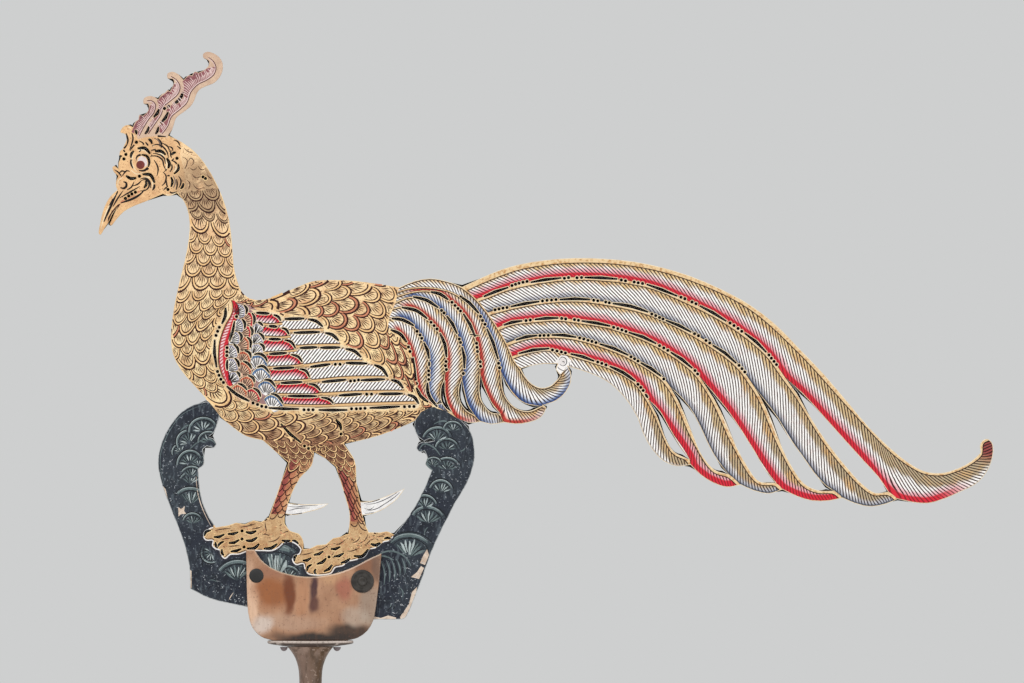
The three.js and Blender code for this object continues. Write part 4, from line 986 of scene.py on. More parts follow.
def draw_scale(place, s, t, half, depth, size, part, rim):
    """One scale: a pale rim between two dark arcs, and a fan of dark strokes from under the scales above.
    Without a rim it is one dark arc."""
    angle = np.linspace(0.06, math.pi - 0.06, 11)

    def arc(scale):
        return place(s + np.cos(angle) * half * scale, t + np.sin(angle) * depth * scale)

    if rim is None:
        drawing.line(arc(0.98), 1.5, "umber", part, 0.6)
        return
    unit = size / FULL_SCALE
    drawing.line(arc(0.87), 2.5 * unit, rim, part, 0.75)
    drawing.line(arc(1.0), 2.45 * unit, "umber", part, 0.5)
    drawing.line(arc(0.75), 1.75 * unit, "umber", part, 0.4)
    for turn in np.linspace(0.35, math.pi - 0.35, 6) + random.uniform(-0.12, 0.12):
        share = np.array([random.uniform(0.2, 0.4), 0.6, random.uniform(0.82, 1.05)])
        across = np.cos(turn) * half * 0.68 * share
        along = depth * (0.68 * np.sin(turn) * share + 0.5 * (share - 1))
        drawing.line(place(s + across, t + along), 1.2 * unit, "umber", part, 0.25)


def draw_bird():
    draw_scales(NECK_FRONT, NECK_BACK, "body", 14.5, 0.0, 0.07, ("worn_rim",))
    draw_scales(NECK_FRONT, NECK_BACK, "body", 16.5, 0.075, 0.99, ("scale_rim",) * 12 + ("rose_rim",))
    draw_scales(BACK_LOW, BACK_HIGH, "body", 19.0, 0.0, 0.99, ("scale_rim", "rose_rim"))
    drawing.strokes(NAPE_STROKES, 1.2, "umber", "body")


def draw_legs():
    for left, right in LEG_GUIDES:
        draw_scales(left, right, "legs", 10.0, 0.02, 0.36)
        draw_scales(left, right, "legs", 9.0, 0.34, 0.9, (None,))
    for ring in SHINS:
        drawing.fill(ring, "shin")
    for reach, paint in ((1.0, "leg_rose"), (0.62, "leg_red")):
        for outer, inner in SHIN_SHADES:
            far = [(u + (x - u) * reach, v + (y - v) * reach) for (u, v), (x, y) in zip(outer, inner)]
            drawing.fill(outer + far[::-1], paint)
    drawing.strokes(SPUR_OUTLINES, 1.0, "slate_ink", None, 0.5)
    drawing.strokes(SPUR_STROKES, 0.9, "slate_ink")
    drawing.fill(LEFT_FOOT, "foot_gold")
    drawing.fill(RIGHT_FOOT, "foot_gold")
    for edge in (LEFT_FOOT_EDGE, RIGHT_FOOT_EDGE):
        line = smooth(edge)
        _, out = directions(line)
        drawing.line(line, 1.5, "bone", None, 0.9)
        drawing.line(line + out * 1.6, 1.6, "slate_ink", None, 0.9)
        drawing.line(line - out * 1.3, 0.9, "ink", "legs", 0.8)
    drawing.strokes(FOOT_STROKES, 1.4, "umber", "legs")
    for _ in range(200):
        u, v = random.choice(FOOT_FLECKS)
        u, v = u + random.gauss(0, 11), v + random.gauss(0, 5.5)
        length = random.uniform(1.2, 3.2)
        middle = (u + length / 2, v + random.uniform(-0.8, 0.8))
        end = (u + length, v + random.uniform(-1.4, 1.4))
        drawing.line([(u, v), middle, end], random.uniform(0.7, 1.2),
                     random.choice(("umber", "rose_rim", "scale_rim")), "legs")


def draw_fan(u, v, radius, start, end, rays=6):
    """A round leaf of the ground's scrollwork: a pale rim over pale and dark rays, angles in degrees."""
    angle = np.radians(np.linspace(start, end, 25))
    wavy = 1 + 0.03 * np.sin(angle * 2.5 + random.uniform(0, 6))
    ring = np.column_stack([np.cos(angle), -np.sin(angle)]) * wavy[:, None]
    centre = np.array([u, v])
    shape = np.vstack([[centre], centre + ring * radius * 1.1])
    drawing.cover(shape)
    drawing.fill(shape, "leaf_shade")
    drawing.line(centre + ring * radius * 1.08, 1.3, "ground_ink", "ground", 0.6)
    worn = random.randint(0, 5)  # so many points of the rim are missing
    drawing.line(centre + ring[worn:] * radius * 0.95, 0.19 * radius, "leaf", "ground", 0.5)
    drawing.line(centre + ring[worn + 1:] * radius * 0.99, 1.2, "leaf_light", "ground", 0.3)
    drawing.line(centre + ring * radius * 0.82, 1.2, "ground_ink", "ground", 0.5)
    for k, turn in enumerate(np.radians(np.linspace(start + 8, end - 8, rays * 2 - 1))):
        turn += random.uniform(-0.05, 0.05)
        bow = random.uniform(-0.08, 0.08)
        reaches = ((random.uniform(0.12, 0.3), 0), (0.5, bow), (random.uniform(0.66, 0.8), 0))
        ray = [centre + share * radius * np.array([math.cos(turn + b), -math.sin(turn + b)])
               for share, b in reaches]
        if k % 2:
            drawing.line(ray, 1.2, "ground_ink", "ground", 0.4)
        else:
            drawing.line(ray, 0.15 * radius, random.choice(("leaf", "leaf_light")), "ground", 0.3)


def draw_ground():
    for fan in FANS:
        draw_fan(*fan)
    for k in range(REED_COUNT):
        u, v = REED_PLACE[0] + REED_STEP[0] * k, REED_PLACE[1] + REED_STEP[1] * k
        drawing.line(smooth([(u, v), (u + 3.5, v + 11), (u + 3, v + 24 - 2 * k)]), 2.0, "leaf", "ground", 0.3)
        drawing.line(smooth([(u + 2.6, v), (u + 6, v + 10), (u + 5.6, v + 20 - 2 * k)]), 1.1, "ground_ink",
                     "ground", 0.4)
    for _ in range(60):
        u, v, spread = random.choice(MARK_PATCHES)
        u, v = u + random.gauss(0, 6), v + random.gauss(0, spread)
        turn, size = random.uniform(0, 6.3), random.uniform(4, 9)
        sweep = np.linspace(turn, turn + random.uniform(0.8, 1.8), 6)
        drawing.line(np.column_stack([u + np.cos(sweep) * size, v + np.sin(sweep) * size]),
                     random.uniform(0.8, 1.7),
                     random.choice(("leaf_shade", "leaf_shade", "ground_ink", "leaf")), "ground", 0.3)
    drawing.strokes(LEAF_STROKES, 2.2, "leaf", "ground", 0.4)
    drawing.line(smooth(ARM_STROKE), 1.0, "leaf", "ground")
    drawing.line(smooth(ARM_SCRATCH), 1.2, "raw_hide", "ground")
    for _ in range(230):
        u, v = random.choice(CHALK_PATCHES)
        u, v = u + random.gauss(0, 9), v + random.gauss(0, 14)
        size = random.uniform(0.5, 2.4)
        turn = random.uniform(0, math.pi)
        step = np.array([math.cos(turn), math.sin(turn)]) * size / 2
        drawing.line([(u, v) - step, (u, v), (u, v) + step], random.uniform(0.4, 0.8), "chalk", "ground", 0.5)
    for ring in BARE_PATCHES:
        drawing.fill(ring, "raw_hide")
    drawing.line(smooth(SLAB_SCRATCH), 1.1, "raw_hide", "ground")


def draw_head():
    drawing.fill(round_hole(*EYE_WHITE, 20), "eye_white")
    drawing.fill(round_hole(*EYE_BROWN, 18), "eye_brown")
    drawing.fill(MOUTH, "rose_rim")
    drawing.fill(BEAK_SHADOW, "umber")
    drawing.strokes(HEAD_LIGHTS, 1.5, "cream", "head", 0.5)
    drawing.strokes(HEAD_SHADES, 1.9, "dusk", "head", 0.5)
    drawing.strokes(HEAD_BOLD, 2.8, "ink", "head", 0.4, HEAD_STEP)
    drawing.strokes(HEAD_FINE, 1.9, "ink", "head", 0.4, HEAD_STEP)


def draw_crest():
    for spine, reach, hem in PLUMES:
        line = smooth(spine, CREST_STEP)
        ahead, left = directions(line)
        inner = line[:int(len(line) * 0.88)]
        shape = np.vstack([inner, (inner + left[:len(inner)] * reach)[::-1]])
        drawing.cover(shape)
        drawing.fill(shape, "plum")
        drawing.fill(np.vstack([line, (line - left * hem)[::-1]]), "cream_pink")
        for i in range(1, int(len(line) * 0.86)):
            root = line[i] + left[i] * 0.8
            length = reach * random.uniform(0.6, 0.85)
            middle = root + left[i] * length * 0.5 + ahead[i] * 1.4
            end = root + left[i] * length + ahead[i] * 1.6
            drawing.line([root, middle, end], 1.05, "barb_pink", "crest", 0.5)
        drawing.line(line + left * 0.9, 1.2, "barb_pink", "crest", 0.6)
        drawing.line(line, 1.2, "plum_ink", "crest", 0.7)
    drawing.strokes(CREST_STROKES, 1.1, "plum_ink", "crest", 0.5)


for draw in (draw_ground, draw_legs, draw_tail, draw_coverts, draw_wing, draw_bird, draw_head, draw_crest):
    draw()


def linear(colour):
    """A colour from 0 to 255 as the linear colour that a shader takes."""
    part = [c / 255 for c in colour]
    return (*[c / 12.92 if c <= 0.04045 else ((c + 0.055) / 1.055) ** 2.4 for c in part], 1.0)


class Shader:
    """A material under construction. Colours are given from 0 to 255 and sizes in metres."""

    def __init__(self, name):
        self.material = bpy.data.materials.new(name)
        self.material.use_nodes = True
        self.tree = self.material.node_tree
        self.surface = self.tree.nodes["Principled BSDF"]
        self.coordinates = self.add("TexCoord").outputs
        self.place = self.coordinates["Object"]

    def add(self, kind, settings=None, **inputs):
        """A new node. An input is named, or else numbered after an underscore."""
        node = self.tree.nodes.new("ShaderNode" + kind)
        for name, value in (settings or {}).items():
            setattr(node, name, value)
        for name, value in inputs.items():
            self.put(node.inputs[int(name[1:]) if name[0] == "_" else name.replace("_", " ")], value)
        return node

    def put(self, socket, value):
        if isinstance(value, bpy.types.NodeSocket):
            self.tree.links.new(value, socket)
        else:
            socket.default_value = linear(value) if socket.type == "RGBA" else value

    def math(self, operation, a, b=0.0):
        return self.add("Math", {"operation": operation}, _0=a, _1=b).outputs[0]

    def plus(self, a, b):
        return self.math("ADD", a, b)

    def minus(self, a, b):
        return self.math("SUBTRACT", a, b)

    def times(self, a, b):
        return self.math("MULTIPLY", a, b)

    def most(self, a, b):
        return self.math("MAXIMUM", a, b)

    def apart(self, a, b):
        return self.math("ABSOLUTE", self.minus(a, b))

    def vector(self, operation, *values):
        inputs = {f"_{i}": value for i, value in enumerate(values)}
        outputs = self.add("VectorMath", {"operation": operation}, **inputs).outputs
        return outputs["Value" if operation in ("LENGTH", "DISTANCE") else "Vector"]

    def split(self, vector):
        return self.add("SeparateXYZ", Vector=vector).outputs

    def mix(self, share, a, b, blend="MIX"):
        return self.add("Mix", {"data_type": "RGBA", "blend_type": blend}, _0=share, _6=a, _7=b).outputs[2]

    def over(self, colour, mask, strength, paint):
        """The colour with the paint over it where the mask is, in that strength."""
        return self.mix(self.times(mask, strength), colour, paint)

    def span(self, value, low, high):
        """0 below low, 1 above high, smooth between."""
        return self.add("MapRange", {"interpolation_type": "SMOOTHSTEP"}, Value=value, From_Min=low,
                        From_Max=high).outputs[0]

    def noise(self, size, detail=3.0, place=None):
        """Noise whose grains are about size metres across."""
        place = self.place if place is None else place
        return self.add("TexNoise", Vector=place, Scale=1 / size, Detail=detail).outputs[0]

    def spots(self, size, low, high, detail=3.0, place=None):
        """1 where the noise is above high, 0 where it is below low."""
        return self.span(self.noise(size, detail, place), low, high)

    def upright(self, squeeze, turn=0.0):
        """Places for a grain that runs upwards, turned about the y axis."""
        return self.add("Mapping", Vector=self.place, Rotation=(0.0, turn, 0.0),
                        Scale=(1.0, 1.0, squeeze)).outputs[0]

    def finish(self, colour, roughness, bump=None, **more):
        """Puts the colour, the bump (height, strength, distance) and what else is given on the surface."""
        more = {"Base_Color": colour, "Roughness": roughness, **more}
        if bump:
            height, strength, distance = bump
            more["Normal"] = self.add("Bump", Height=height, Strength=strength, Distance=distance).outputs[0]
        for name, value in more.items():
            self.put(self.surface.inputs[name.replace("_", " ")], value)
        return self.material


def paint_material(name):
    """A mottled paint on leather; the gold is worn and the ground's slate weathered."""
    shader = Shader(name)
    base, mottle = COLOURS[name]
    colour = shader.over(base, shader.spots(0.006, 0.42, 0.66), 0.55, mottle)
    grain = shader.spots(0.0009, 0.5, 0.72, 4.0)
    colour = shader.over(colour, grain, 0.9 if name == "slate" else 0.5, mottle)
    if name in ("gold", "head_gold", "foot_gold"):
        colour = worn_gold(shader, colour, 0.5 if name == "foot_gold" else 0.95)
    elif name in ("slate", "leaf_shade"):
        colour = weathered_slate(shader, colour)
    # the cut walls: near black and without shine, painted shade
    elif name == "cut":
        return shader.finish(colour, 1.0, Specular_IOR_Level=0.0)
    return leather_finish(shader, colour)


def worn_gold(shader, colour, shade):
    """The gold is peachy up the neck, rubbed grey-brown behind the head, dark below and flecked all over."""
    z = shader.split(shader.place)[2]
    x, top = spot(*NAPE)
    colour = shader.over(colour, shader.span(z, top - 0.1, top - 0.02), 0.4, (244, 196, 156))
    away = shader.vector("DISTANCE", shader.place, (x, -HALF_SHEET, top))
    rubbed = shader.times(shader.span(away, 0.023, 0.008), shader.spots(0.0035, 0.2, 0.5))
    colour = shader.over(colour, rubbed, 0.8, (158, 128, 98))
    colour = shader.over(colour, shader.spots(0.011, 0.55, 0.75, 4.0), 0.4, (202, 128, 80))
    low = shader.span(z, *(spot(0, v)[1] for v in BELLY_SHADE))
    colour = shader.over(colour, low, shade, (144, 98, 72))
    return shader.over(colour, shader.spots(0.0008, 0.58, 0.7), 0.7, (112, 58, 30))


def weathered_slate(shader, colour):
    """Clouds, slanting brush streaks and pale flecks."""
    colour = shader.over(colour, shader.spots(0.03, 0.42, 0.65, 2.0), 0.35, (62, 70, 76))
    colour = shader.over(colour, shader.spots(0.0016, 0.55, 0.68, 4.0, shader.upright(0.3, 0.7)), 0.55,
                         (92, 102, 110))
    return shader.over(colour, shader.spots(0.0011, 0.62, 0.7, 5.0), 0.7, (150, 158, 166))


def leather_finish(shader, colour):
    """The dull shine of paint on leather, with its grain."""
    height = shader.plus(shader.noise(0.0007, 4.0), shader.noise(0.004))
    return shader.finish(colour, 0.55, (height, 0.25, 0.0003), Specular_IOR_Level=0.22)


def feather_material(name):
    """A feather's vane: white, washed with ochre, coloured along its edges and ruled with barbs. It reads
    how many barbs lie between here and the root, how far the two edges are, and the share along."""
    wash_width, growth, quill_up, quill_low, bands = FEATHERS[name]
    shader = Shader(name)
    phase, low, _ = shader.split(shader.add("UVMap", {"uv_map": "Barbs"}).outputs[0])
    up, along, _ = shader.split(shader.add("UVMap", {"uv_map": "Vane"}).outputs[0])
    distance = {"up": up, "low": low}
    if name in ("tail_first", "tail_red"):  # the red broadens towards the tip
        distance["low"] = shader.minus(low, shader.times(along, 2.2))
    shaft = up
    if name == "tail_first":  # the pale shaft narrows towards the tip
        shaft = shader.plus(up, shader.times(along, 3.4))
    stroke = shader.add("TexWhiteNoise", {"noise_dimensions": "1D"}, W=shader.math("FLOOR", phase))
    stroke = shader.times(shader.minus(stroke.outputs["Value"], 0.5), 3.0)
    patch = shader.plus(shader.times(shader.minus(shader.noise(0.011), 0.5), 9.0), stroke)
    colour = shader.mix(shader.spots(0.003, 0.5, 0.8), (255, 253, 250), (244, 230, 226))
    if wash_width or growth:
        reach = shader.minus(shader.plus(up, patch), shader.times(along, growth))
        ochre = shader.mix(shader.span(along, 0.5, 0.9), (228, 186, 100), (166, 138, 78))
        ochre = shader.mix(shader.spots(0.012, 0.48, 0.66), ochre, (218, 160, 52))
        ochre = shader.mix(shader.spots(0.0012, 0.5, 0.7, 4.0), ochre, (170, 126, 66))
        colour = shader.over(colour, shader.span(reach, wash_width + 6.0, wash_width + 1.0), 0.8, ochre)
    ending = bands_end(shader, name, along)
    strength = 0.0
    for edge, full, gone, *paint in bands:
        ragged = shader.plus(distance[edge], shader.times(stroke, 0.5 if gone - full > 3 else 0.1))
        strength = shader.times(shader.span(ragged, gone, full), ending)
        colour = shader.mix(strength, colour, paint)
    if name == "tail_first":
        colour = shader.mix(shader.span(along, 0.955, 0.98), colour, (150, 72, 68))
    colour = shader.mix(shader.span(up, 1.5, 0.9), colour, (226, 196, 158))
    if quill_up:
        beige = shader.mix(shader.spots(0.0015, 0.45, 0.7, 4.0), (236, 206, 160), (196, 146, 92))
        colour = shader.mix(shader.span(shaft, quill_up, quill_up - 0.6), colour, beige)
    cycle = shader.math("FRACT", shader.plus(phase, shader.times(shader.noise(0.004), 0.3)))
    line = shader.span(shader.apart(cycle, 0.5), 0.27, 0.13)
    line = shader.times(line, shader.minus(1.0, shader.times(strength, 0.4)))
    line = shader.times(line, shader.spots(0.0025, 0.1, 0.42))
    for side, quill in ((shaft, quill_up), (low, quill_low)):
        if quill:
            line = shader.times(line, shader.span(side, quill - 0.5, quill + 0.2))
            line = shader.most(line, shader.span(shader.apart(side, quill), 0.7, 0.3))
    # painted shade: a dark line along each feather's lower edge
    line = shader.most(line, shader.times(shader.span(low, 1.0, 0.5), 0.7))
    ink = (176, 44, 58) if name == "wing_band" else (58, 36, 30)
    return leather_finish(shader, shader.mix(line, colour, shader.mix(1.0, colour, ink, "MULTIPLY")))


def bands_end(shader, name, along):
    """Where along the feather its coloured bands begin and end."""
    if name == "tail_first":
        return shader.span(along, 0.93, 0.86)
    if name.startswith("covert"):
        begin = (0.2, 0.42) if name == "covert_top" else (0.02, 0.1)
        return shader.times(shader.span(along, *begin), shader.span(along, 1.02, 0.85))
    return 1.0


materials = {name: paint_material(name) for name in COLOURS}
materials.update({name: feather_material(name) for name in FEATHERS})


def distance_to(points, line):
    """How far each point is from the line."""
    best = np.full(len(points), np.inf)
    for a, b in zip(line[:-1], line[1:]):
        run = b - a
        share = np.clip(((points - a) @ run) / max(run @ run, 1e-9), 0, 1)[:, None]
        best = np.minimum(best, np.linalg.norm(points - a - share * run, axis=1))
    return best


def feather_phase(points, top, bottom, leans, spacing, slope):
    """For each point, how many barbs lie between it and the feather's root, and how far along it is.
    The feather is taken as a row of rungs from its upper to its lower edge."""
    middle = (top + bottom) / 2
    s = lengths(middle)
    share = s / s[-1]
    root_lean, lean, tip_lean = leans
    lean = np.interp(share, LEAN_PLACES, (root_lean, lean, lean, tip_lean))
    rate = 1 / np.hypot(lean, 1) / spacing
    barbs = np.concatenate([[0], np.cumsum((rate[1:] + rate[:-1]) / 2 * np.diff(s))])
    across = bottom - top
    width = np.linalg.norm(across, axis=1)
    broad = np.flatnonzero(width > 1)
    nearest = broad[np.abs(np.arange(len(width))[:, None] - broad).argmin(1)]
    rung = across[nearest] / width[nearest, None]  # a pointed end takes its neighbour's direction
    axis, _ = directions(middle)
    upright = np.abs(axis[:, 0] * rung[:, 1] - axis[:, 1] * rung[:, 0])
    forward = rate * (lean * upright - (axis * rung).sum(1))  # as if the rungs stood square to the feather
    best, phase, along = np.full(len(points), np.inf), np.zeros(len(points)), np.zeros(len(points))
    for i in range(len(top) - 1):
        d0, d1 = points - middle[i], points - middle[i + 1]
        c0 = rung[i, 0] * d0[:, 1] - rung[i, 1] * d0[:, 0]
        c1 = rung[i + 1, 0] * d1[:, 1] - rung[i + 1, 1] * d1[:, 0]
        crossing = c0 / np.where(np.abs(c0 - c1) < 1e-9, 1e-9, c0 - c1)
        t = np.clip(crossing, 0, 1)
        down = (d0 @ rung[i]) * (1 - t) + (d1 @ rung[i + 1]) * t
        half = (width[i] * (1 - t) + width[i + 1] * t) / 2
        miss = 30 * np.maximum(np.maximum(-crossing, crossing - 1), 0)
        miss += np.maximum(np.abs(down) - half, 0) + np.abs(down) * 0.01
        better = miss < best
        best[better] = miss[better]
        t, down = np.clip(crossing[better], -3, 4), down[better]
        phase[better] = barbs[i] + (barbs[i + 1] - barbs[i]) * t
        phase[better] -= down * (forward[i] + (forward[i + 1] - forward[i]) * t)
        along[better] = share[i] + (share[i + 1] - share[i]) * t
    if slope:
        phase = (points @ np.array([-slope[1], slope[0]])) / math.hypot(*slope) / spacing
    return phase, along


def closed(ring):
    return np.vstack([ring, ring[:1]])


def subdivided(ring, step):
    """The ring with points no further apart than the step; its corners stay."""
    rows = []
    for a, b in zip(ring, np.roll(ring, -1, 0)):
        count = max(1, math.ceil(np.linalg.norm(b - a) / step))
        rows.append(a + (b - a) * (np.arange(count) / count)[:, None])
    return np.vstack(rows)


def eased(ring):
    """The ring, a little wider if it is a narrow slit."""
    across = 2 * abs(area(ring)) / np.linalg.norm(np.roll(ring, -1, 0) - ring, axis=1).sum()
    return subdivided(inset(ring, SLIT_EASE), EASED_STEP) if across < SLIT_WIDTH else ring


cut_rings = [eased(ring) for ring in cut_outlines()]
hole_rings = [round_hole(u, v, DOT_RADIUS) for u, v in DOTS]
hole_rings += [slit(line, *FINE_SLIT) for line in FINE_SLITS]
hole_rings += [slit(arc, *CRESCENT) for _, arc in SCALLOPS]
edge_rings = cut_rings + hole_rings


def narrowing(ring):
    """How far, and which way, each point of a cut moves in at the middle of the leather's thickness:
    towards the centre of the largest circle that fits into the cut there."""
    run = lengths(closed(ring))
    count = max(16, int(run[-1] / WALL_STEP))
    wall, wall_at = resample(closed(ring), count), np.linspace(0, run[-1], count)
    into = ring - inset(ring, 1.0)  # where a point goes when its two walls move in by one
    beyond = (into ** 2).sum(1) - 1
    shift = np.zeros(len(ring))
    for i, (place, toward) in enumerate(zip(ring, into)):
        gap = wall - place
        apart, ahead = (gap ** 2).sum(1), gap @ toward
        room = ahead ** 2 - beyond[i] * apart
        away = np.abs(wall_at - run[i])
        facing = (ahead > SNAP) & (room > 0) & (np.minimum(away, run[-1] - away) > NEAR_ALONG)
        if facing.any():
            radius = (apart[facing] / (ahead[facing] + np.sqrt(room[facing]))).min()
            upright = np.clip((WIDE_CUT - 2 * radius) / (WIDE_CUT - NARROW_CUT), 0, 1)
            shift[i] = NARROWING * min(radius, NARROW_CUT / 2) * upright
    return into * shift[:, None]


# Every cut edge again as close-set points, to ask how far a place is from the nearest cut
edge_points, edge_shifts = [], []
for ring in edge_rings:
    run = lengths(closed(ring))
    at = np.linspace(0, run[-1], max(8, int(run[-1] / EDGE_STEP)))
    edge_points.append(interpolate(at, run, closed(ring)))
    edge_shifts.append(interpolate(at, run, closed(narrowing(ring))))
edge_points, edge_shifts = np.vstack(edge_points), np.vstack(edge_shifts)
edge_tree = kdtree.KDTree(len(edge_points))
for index, (u, v) in enumerate(edge_points):
    edge_tree.insert((u, v, 0), index)
edge_tree.balance()


def to_cut(points):
    """How far each point is from the nearest cut."""
    return np.array([edge_tree.find((u, v, 0))[2] for u, v in points])


def part_of(points):
    """The name of the figure's part that each point lies in."""
    name = np.full(len(points), "body", dtype=object)
    for part, ring in PARTS:
        name[inside(points, [np.array(ring, float)])] = part
    return name


def triangulate():
    """The leather's face as triangles that follow every cut, rim and painted border."""
    points, edges = [], []

    def add(ring):
        start = len(points)
        points.extend(Vector((round(u / SNAP) * SNAP, round(v / SNAP) * SNAP)) for u, v in ring)
        edges.extend((i, i + 1) for i in range(start, len(points) - 1))
        edges.append((len(points) - 1, start))

    for ring in edge_rings:
        add(ring)
        add(inset(ring, RIM))
    for ring, _ in drawing.fills:
        add(ring)
    for _, ring in PARTS:
        add(ring)
    everything = np.vstack(cut_rings)
    reach = zip(everything.min(0), everything.max(0))
    columns, rows = (np.arange(low, high, GRID_STEP) for low, high in reach)
    grid = np.array([(u, v) for u in columns for v in rows])
    grid += np.random.default_rng(GRID_SEED).uniform(-GRID_JITTER, GRID_JITTER, grid.shape)
    grid = grid[inside(grid, edge_rings)]
    points.extend(Vector(p) for p in grid[to_cut(grid) > RIM * 2])
    verts, _, faces, _, _, _ = geometry.delaunay_2d_cdt(points, edges, [], 0, SNAP / 2)
    verts = np.array([tuple(v) for v in verts])
    faces = np.array([tuple(f) for f in faces])
    centre = verts[faces].mean(1)
    keep = inside(centre, edge_rings)
    return verts, faces[keep], centre[keep]


verts, faces, centres = triangulate()
near_cut = to_cut(centres)
face_part = part_of(centres)
face_paint = np.array([BASE_PAINT[p] for p in face_part], dtype=object)
for ring, paint in drawing.fills:
    face_paint[inside(centres, [ring])] = paint
for part in set(face_part):
    face_paint[(near_cut < RIM * 0.97) & (face_part == part)] = RIM_PAINT.get(part, "rim")
face_barbs = np.zeros((len(faces), 3, 2))
face_vane = np.zeros((len(faces), 3, 2))
for top, bottom, leans, spacing, slope in drawing.feathers:
    chosen = np.flatnonzero(inside(centres, [np.vstack([top, bottom[::-1]])]))
    corners = verts[faces[chosen]].reshape(-1, 2)
    phase, along = feather_phase(corners, top, bottom, leans, spacing, slope)
    face_barbs[chosen] = np.column_stack([phase, distance_to(corners, bottom)]).reshape(-1, 3, 2)
    face_vane[chosen] = np.column_stack([distance_to(corners, top), along]).reshape(-1, 3, 2)
at_cut = to_cut(verts) < AT_CUT
vert_shift = np.array([edge_shifts[edge_tree.find((u, v, 0))[1]] for u, v in verts]) * at_cut[:, None]


def new_piece(name, mesh):
    """A piece of the scene that rides on the puppet's one body."""
    piece = bpy.data.objects.new(name, mesh)
    bpy.context.scene.collection.objects.link(piece)
    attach(piece, "root")
    return piece


def build_part(part):
    """One part of the sheet as a closed slab: painted on both faces, bevelled at its cuts."""
    chosen = np.flatnonzero(face_part == part)
    used, local = np.unique(faces[chosen], return_inverse=True)
    local = local.reshape(-1, 3)
    xz = to_metres(verts[used])
    bend = warp(xz)
    half = np.where(at_cut[used], HALF_SHEET - RIM_DROP, HALF_SHEET)
    count = len(used)
    front = np.column_stack([xz[:, 0], bend - half, xz[:, 1]])
    back = np.column_stack([xz[:, 0], bend + half, xz[:, 1]])
    a, b, c = (xz[local[:, i]] for i in range(3))
    turned = (b[:, 0] - a[:, 0]) * (c[:, 1] - a[:, 1]) - (c[:, 0] - a[:, 0]) * (b[:, 1] - a[:, 1]) < 0
    barbs, vane = face_barbs[chosen], face_vane[chosen]
    for corners in (local, barbs, vane):
        corners[turned] = corners[turned][:, ::-1]
    edges = {(tri[i], tri[j]) for tri in local for i, j in ((0, 1), (1, 2), (2, 0))}
    rim = sorted((i, j) for i, j in edges if (j, i) not in edges)
    walled = sorted({i for i, _ in rim})
    waist_xz = to_metres(verts[used[walled]] + vert_shift[used[walled]])
    waist = np.column_stack([waist_xz[:, 0], bend[walled], waist_xz[:, 1]])
    at_waist = {i: 2 * count + k for k, i in enumerate(walled)}
    narrow = np.linalg.norm(vert_shift[used], axis=1) > DARK_LEAN
    polygons = [tuple(t) for t in local] + [tuple(t[::-1] + count) for t in local]
    for i, j in rim:
        polygons += [(j, i, at_waist[i], at_waist[j]), (at_waist[j], at_waist[i], i + count, j + count)]
    mesh = bpy.data.meshes.new(part)
    polygons = [tuple(int(k) for k in p) for p in polygons]
    mesh.from_pydata(np.vstack([front, back, waist]).tolist(), [], polygons)
    names = sorted(set(face_paint[chosen])) + ["edge", "cut"]
    for name in names:
        mesh.materials.append(materials[name])
    slot = {name: i for i, name in enumerate(names)}
    faces_slot = [slot[n] for n in face_paint[chosen]]
    # narrowed walls get the near-black cut paint, as painted shade
    walls_slot = [slot["cut" if narrow[i] or narrow[j] else "edge"] for i, j in rim for _ in (0, 1)]
    mesh.polygons.foreach_set("material_index", faces_slot + faces_slot + walls_slot)
    for name, values in (("Barbs", barbs), ("Vane", vane)):
        layer = mesh.uv_layers.new(name=name)
        flat = np.vstack([values.reshape(-1, 2), values[:, ::-1].reshape(-1, 2), np.zeros((8 * len(rim), 2))])
        layer.data.foreach_set("uv", flat.ravel())
    mesh.validate()
    mesh.update()
    piece = new_piece("sheet_" + part, mesh)
    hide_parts("figure_sheet")


def build_lines():
    """The brush lines, one object for each part of the figure, cut off where they leave the leather."""
    starts = np.concatenate([[0], np.cumsum([len(line[0]) for line in drawing.lines])])
    every = np.vstack([line[0] for line in drawing.lines])
    on_leather = inside(every, edge_rings) & (to_cut(every) > RIM * 0.8)
    owner = part_of(every)
    runs = {}
    for (points, widths, paint, part, hidden), start in zip(drawing.lines, starts):
        good = on_leather[start:start + len(points)] & ~hidden
        if part:
            good = good & (owner[start:start + len(points)] == part)
        i = 0
        while i < len(points):
            j = i
            while j < len(points) and good[j]:
                j += 1
            if j - i >= 2:
                runs.setdefault(part or owner[start + i], []).append((points[i:j], widths[i:j], paint))
            i = j + 1
    for part, strokes in sorted(runs.items()):
        build_line_piece(part, strokes)


def build_line_piece(part, strokes):
    """The brush lines of one part: three-sided ribbons on both faces of the sheet."""
    places, polygons, slots = [], [], []
    names = sorted({paint for _, _, paint in strokes})
    for points, widths, paint in strokes:
        height = INK_HEIGHT if "ink" in paint else WASH_HEIGHT
        side = directions(points)[1] * widths[:, None] / 2
        rows = [to_metres(row) for row in (points - side, points, points + side)]
        bend = warp(rows[1])
        n = len(points)
        for face in (-1, 1):
            base = len(places)
            for xz, lift in zip(rows, (-LINE_ROOT, height, -LINE_ROOT)):
                y = bend + face * (HALF_SHEET + lift)
                places.extend(np.column_stack([xz[:, 0], y, xz[:, 1]]).tolist())
            ring = []
            for i in range(n - 1):
                l, m, r = base + i, base + n + i, base + 2 * n + i
                ring += [(l, l + 1, m + 1, m), (m, m + 1, r + 1, r), (r, r + 1, l + 1, l)]
            ring += [(base, base + n, base + 2 * n), (base + n - 1, base + 3 * n - 1, base + 2 * n - 1)]
            polygons += ring if face < 0 else [p[::-1] for p in ring]
            slots += [names.index(paint)] * len(ring)
    mesh = bpy.data.meshes.new("lines_" + part)
    mesh.from_pydata(places, [], polygons)
    for name in names:
        mesh.materials.append(materials[name])
    mesh.polygons.foreach_set("material_index", slots)
    mesh.update()
    piece = new_piece("lines_" + part, mesh)


for part in ["body"] + [name for name, _ in PARTS]:
    build_part(part)
build_lines()


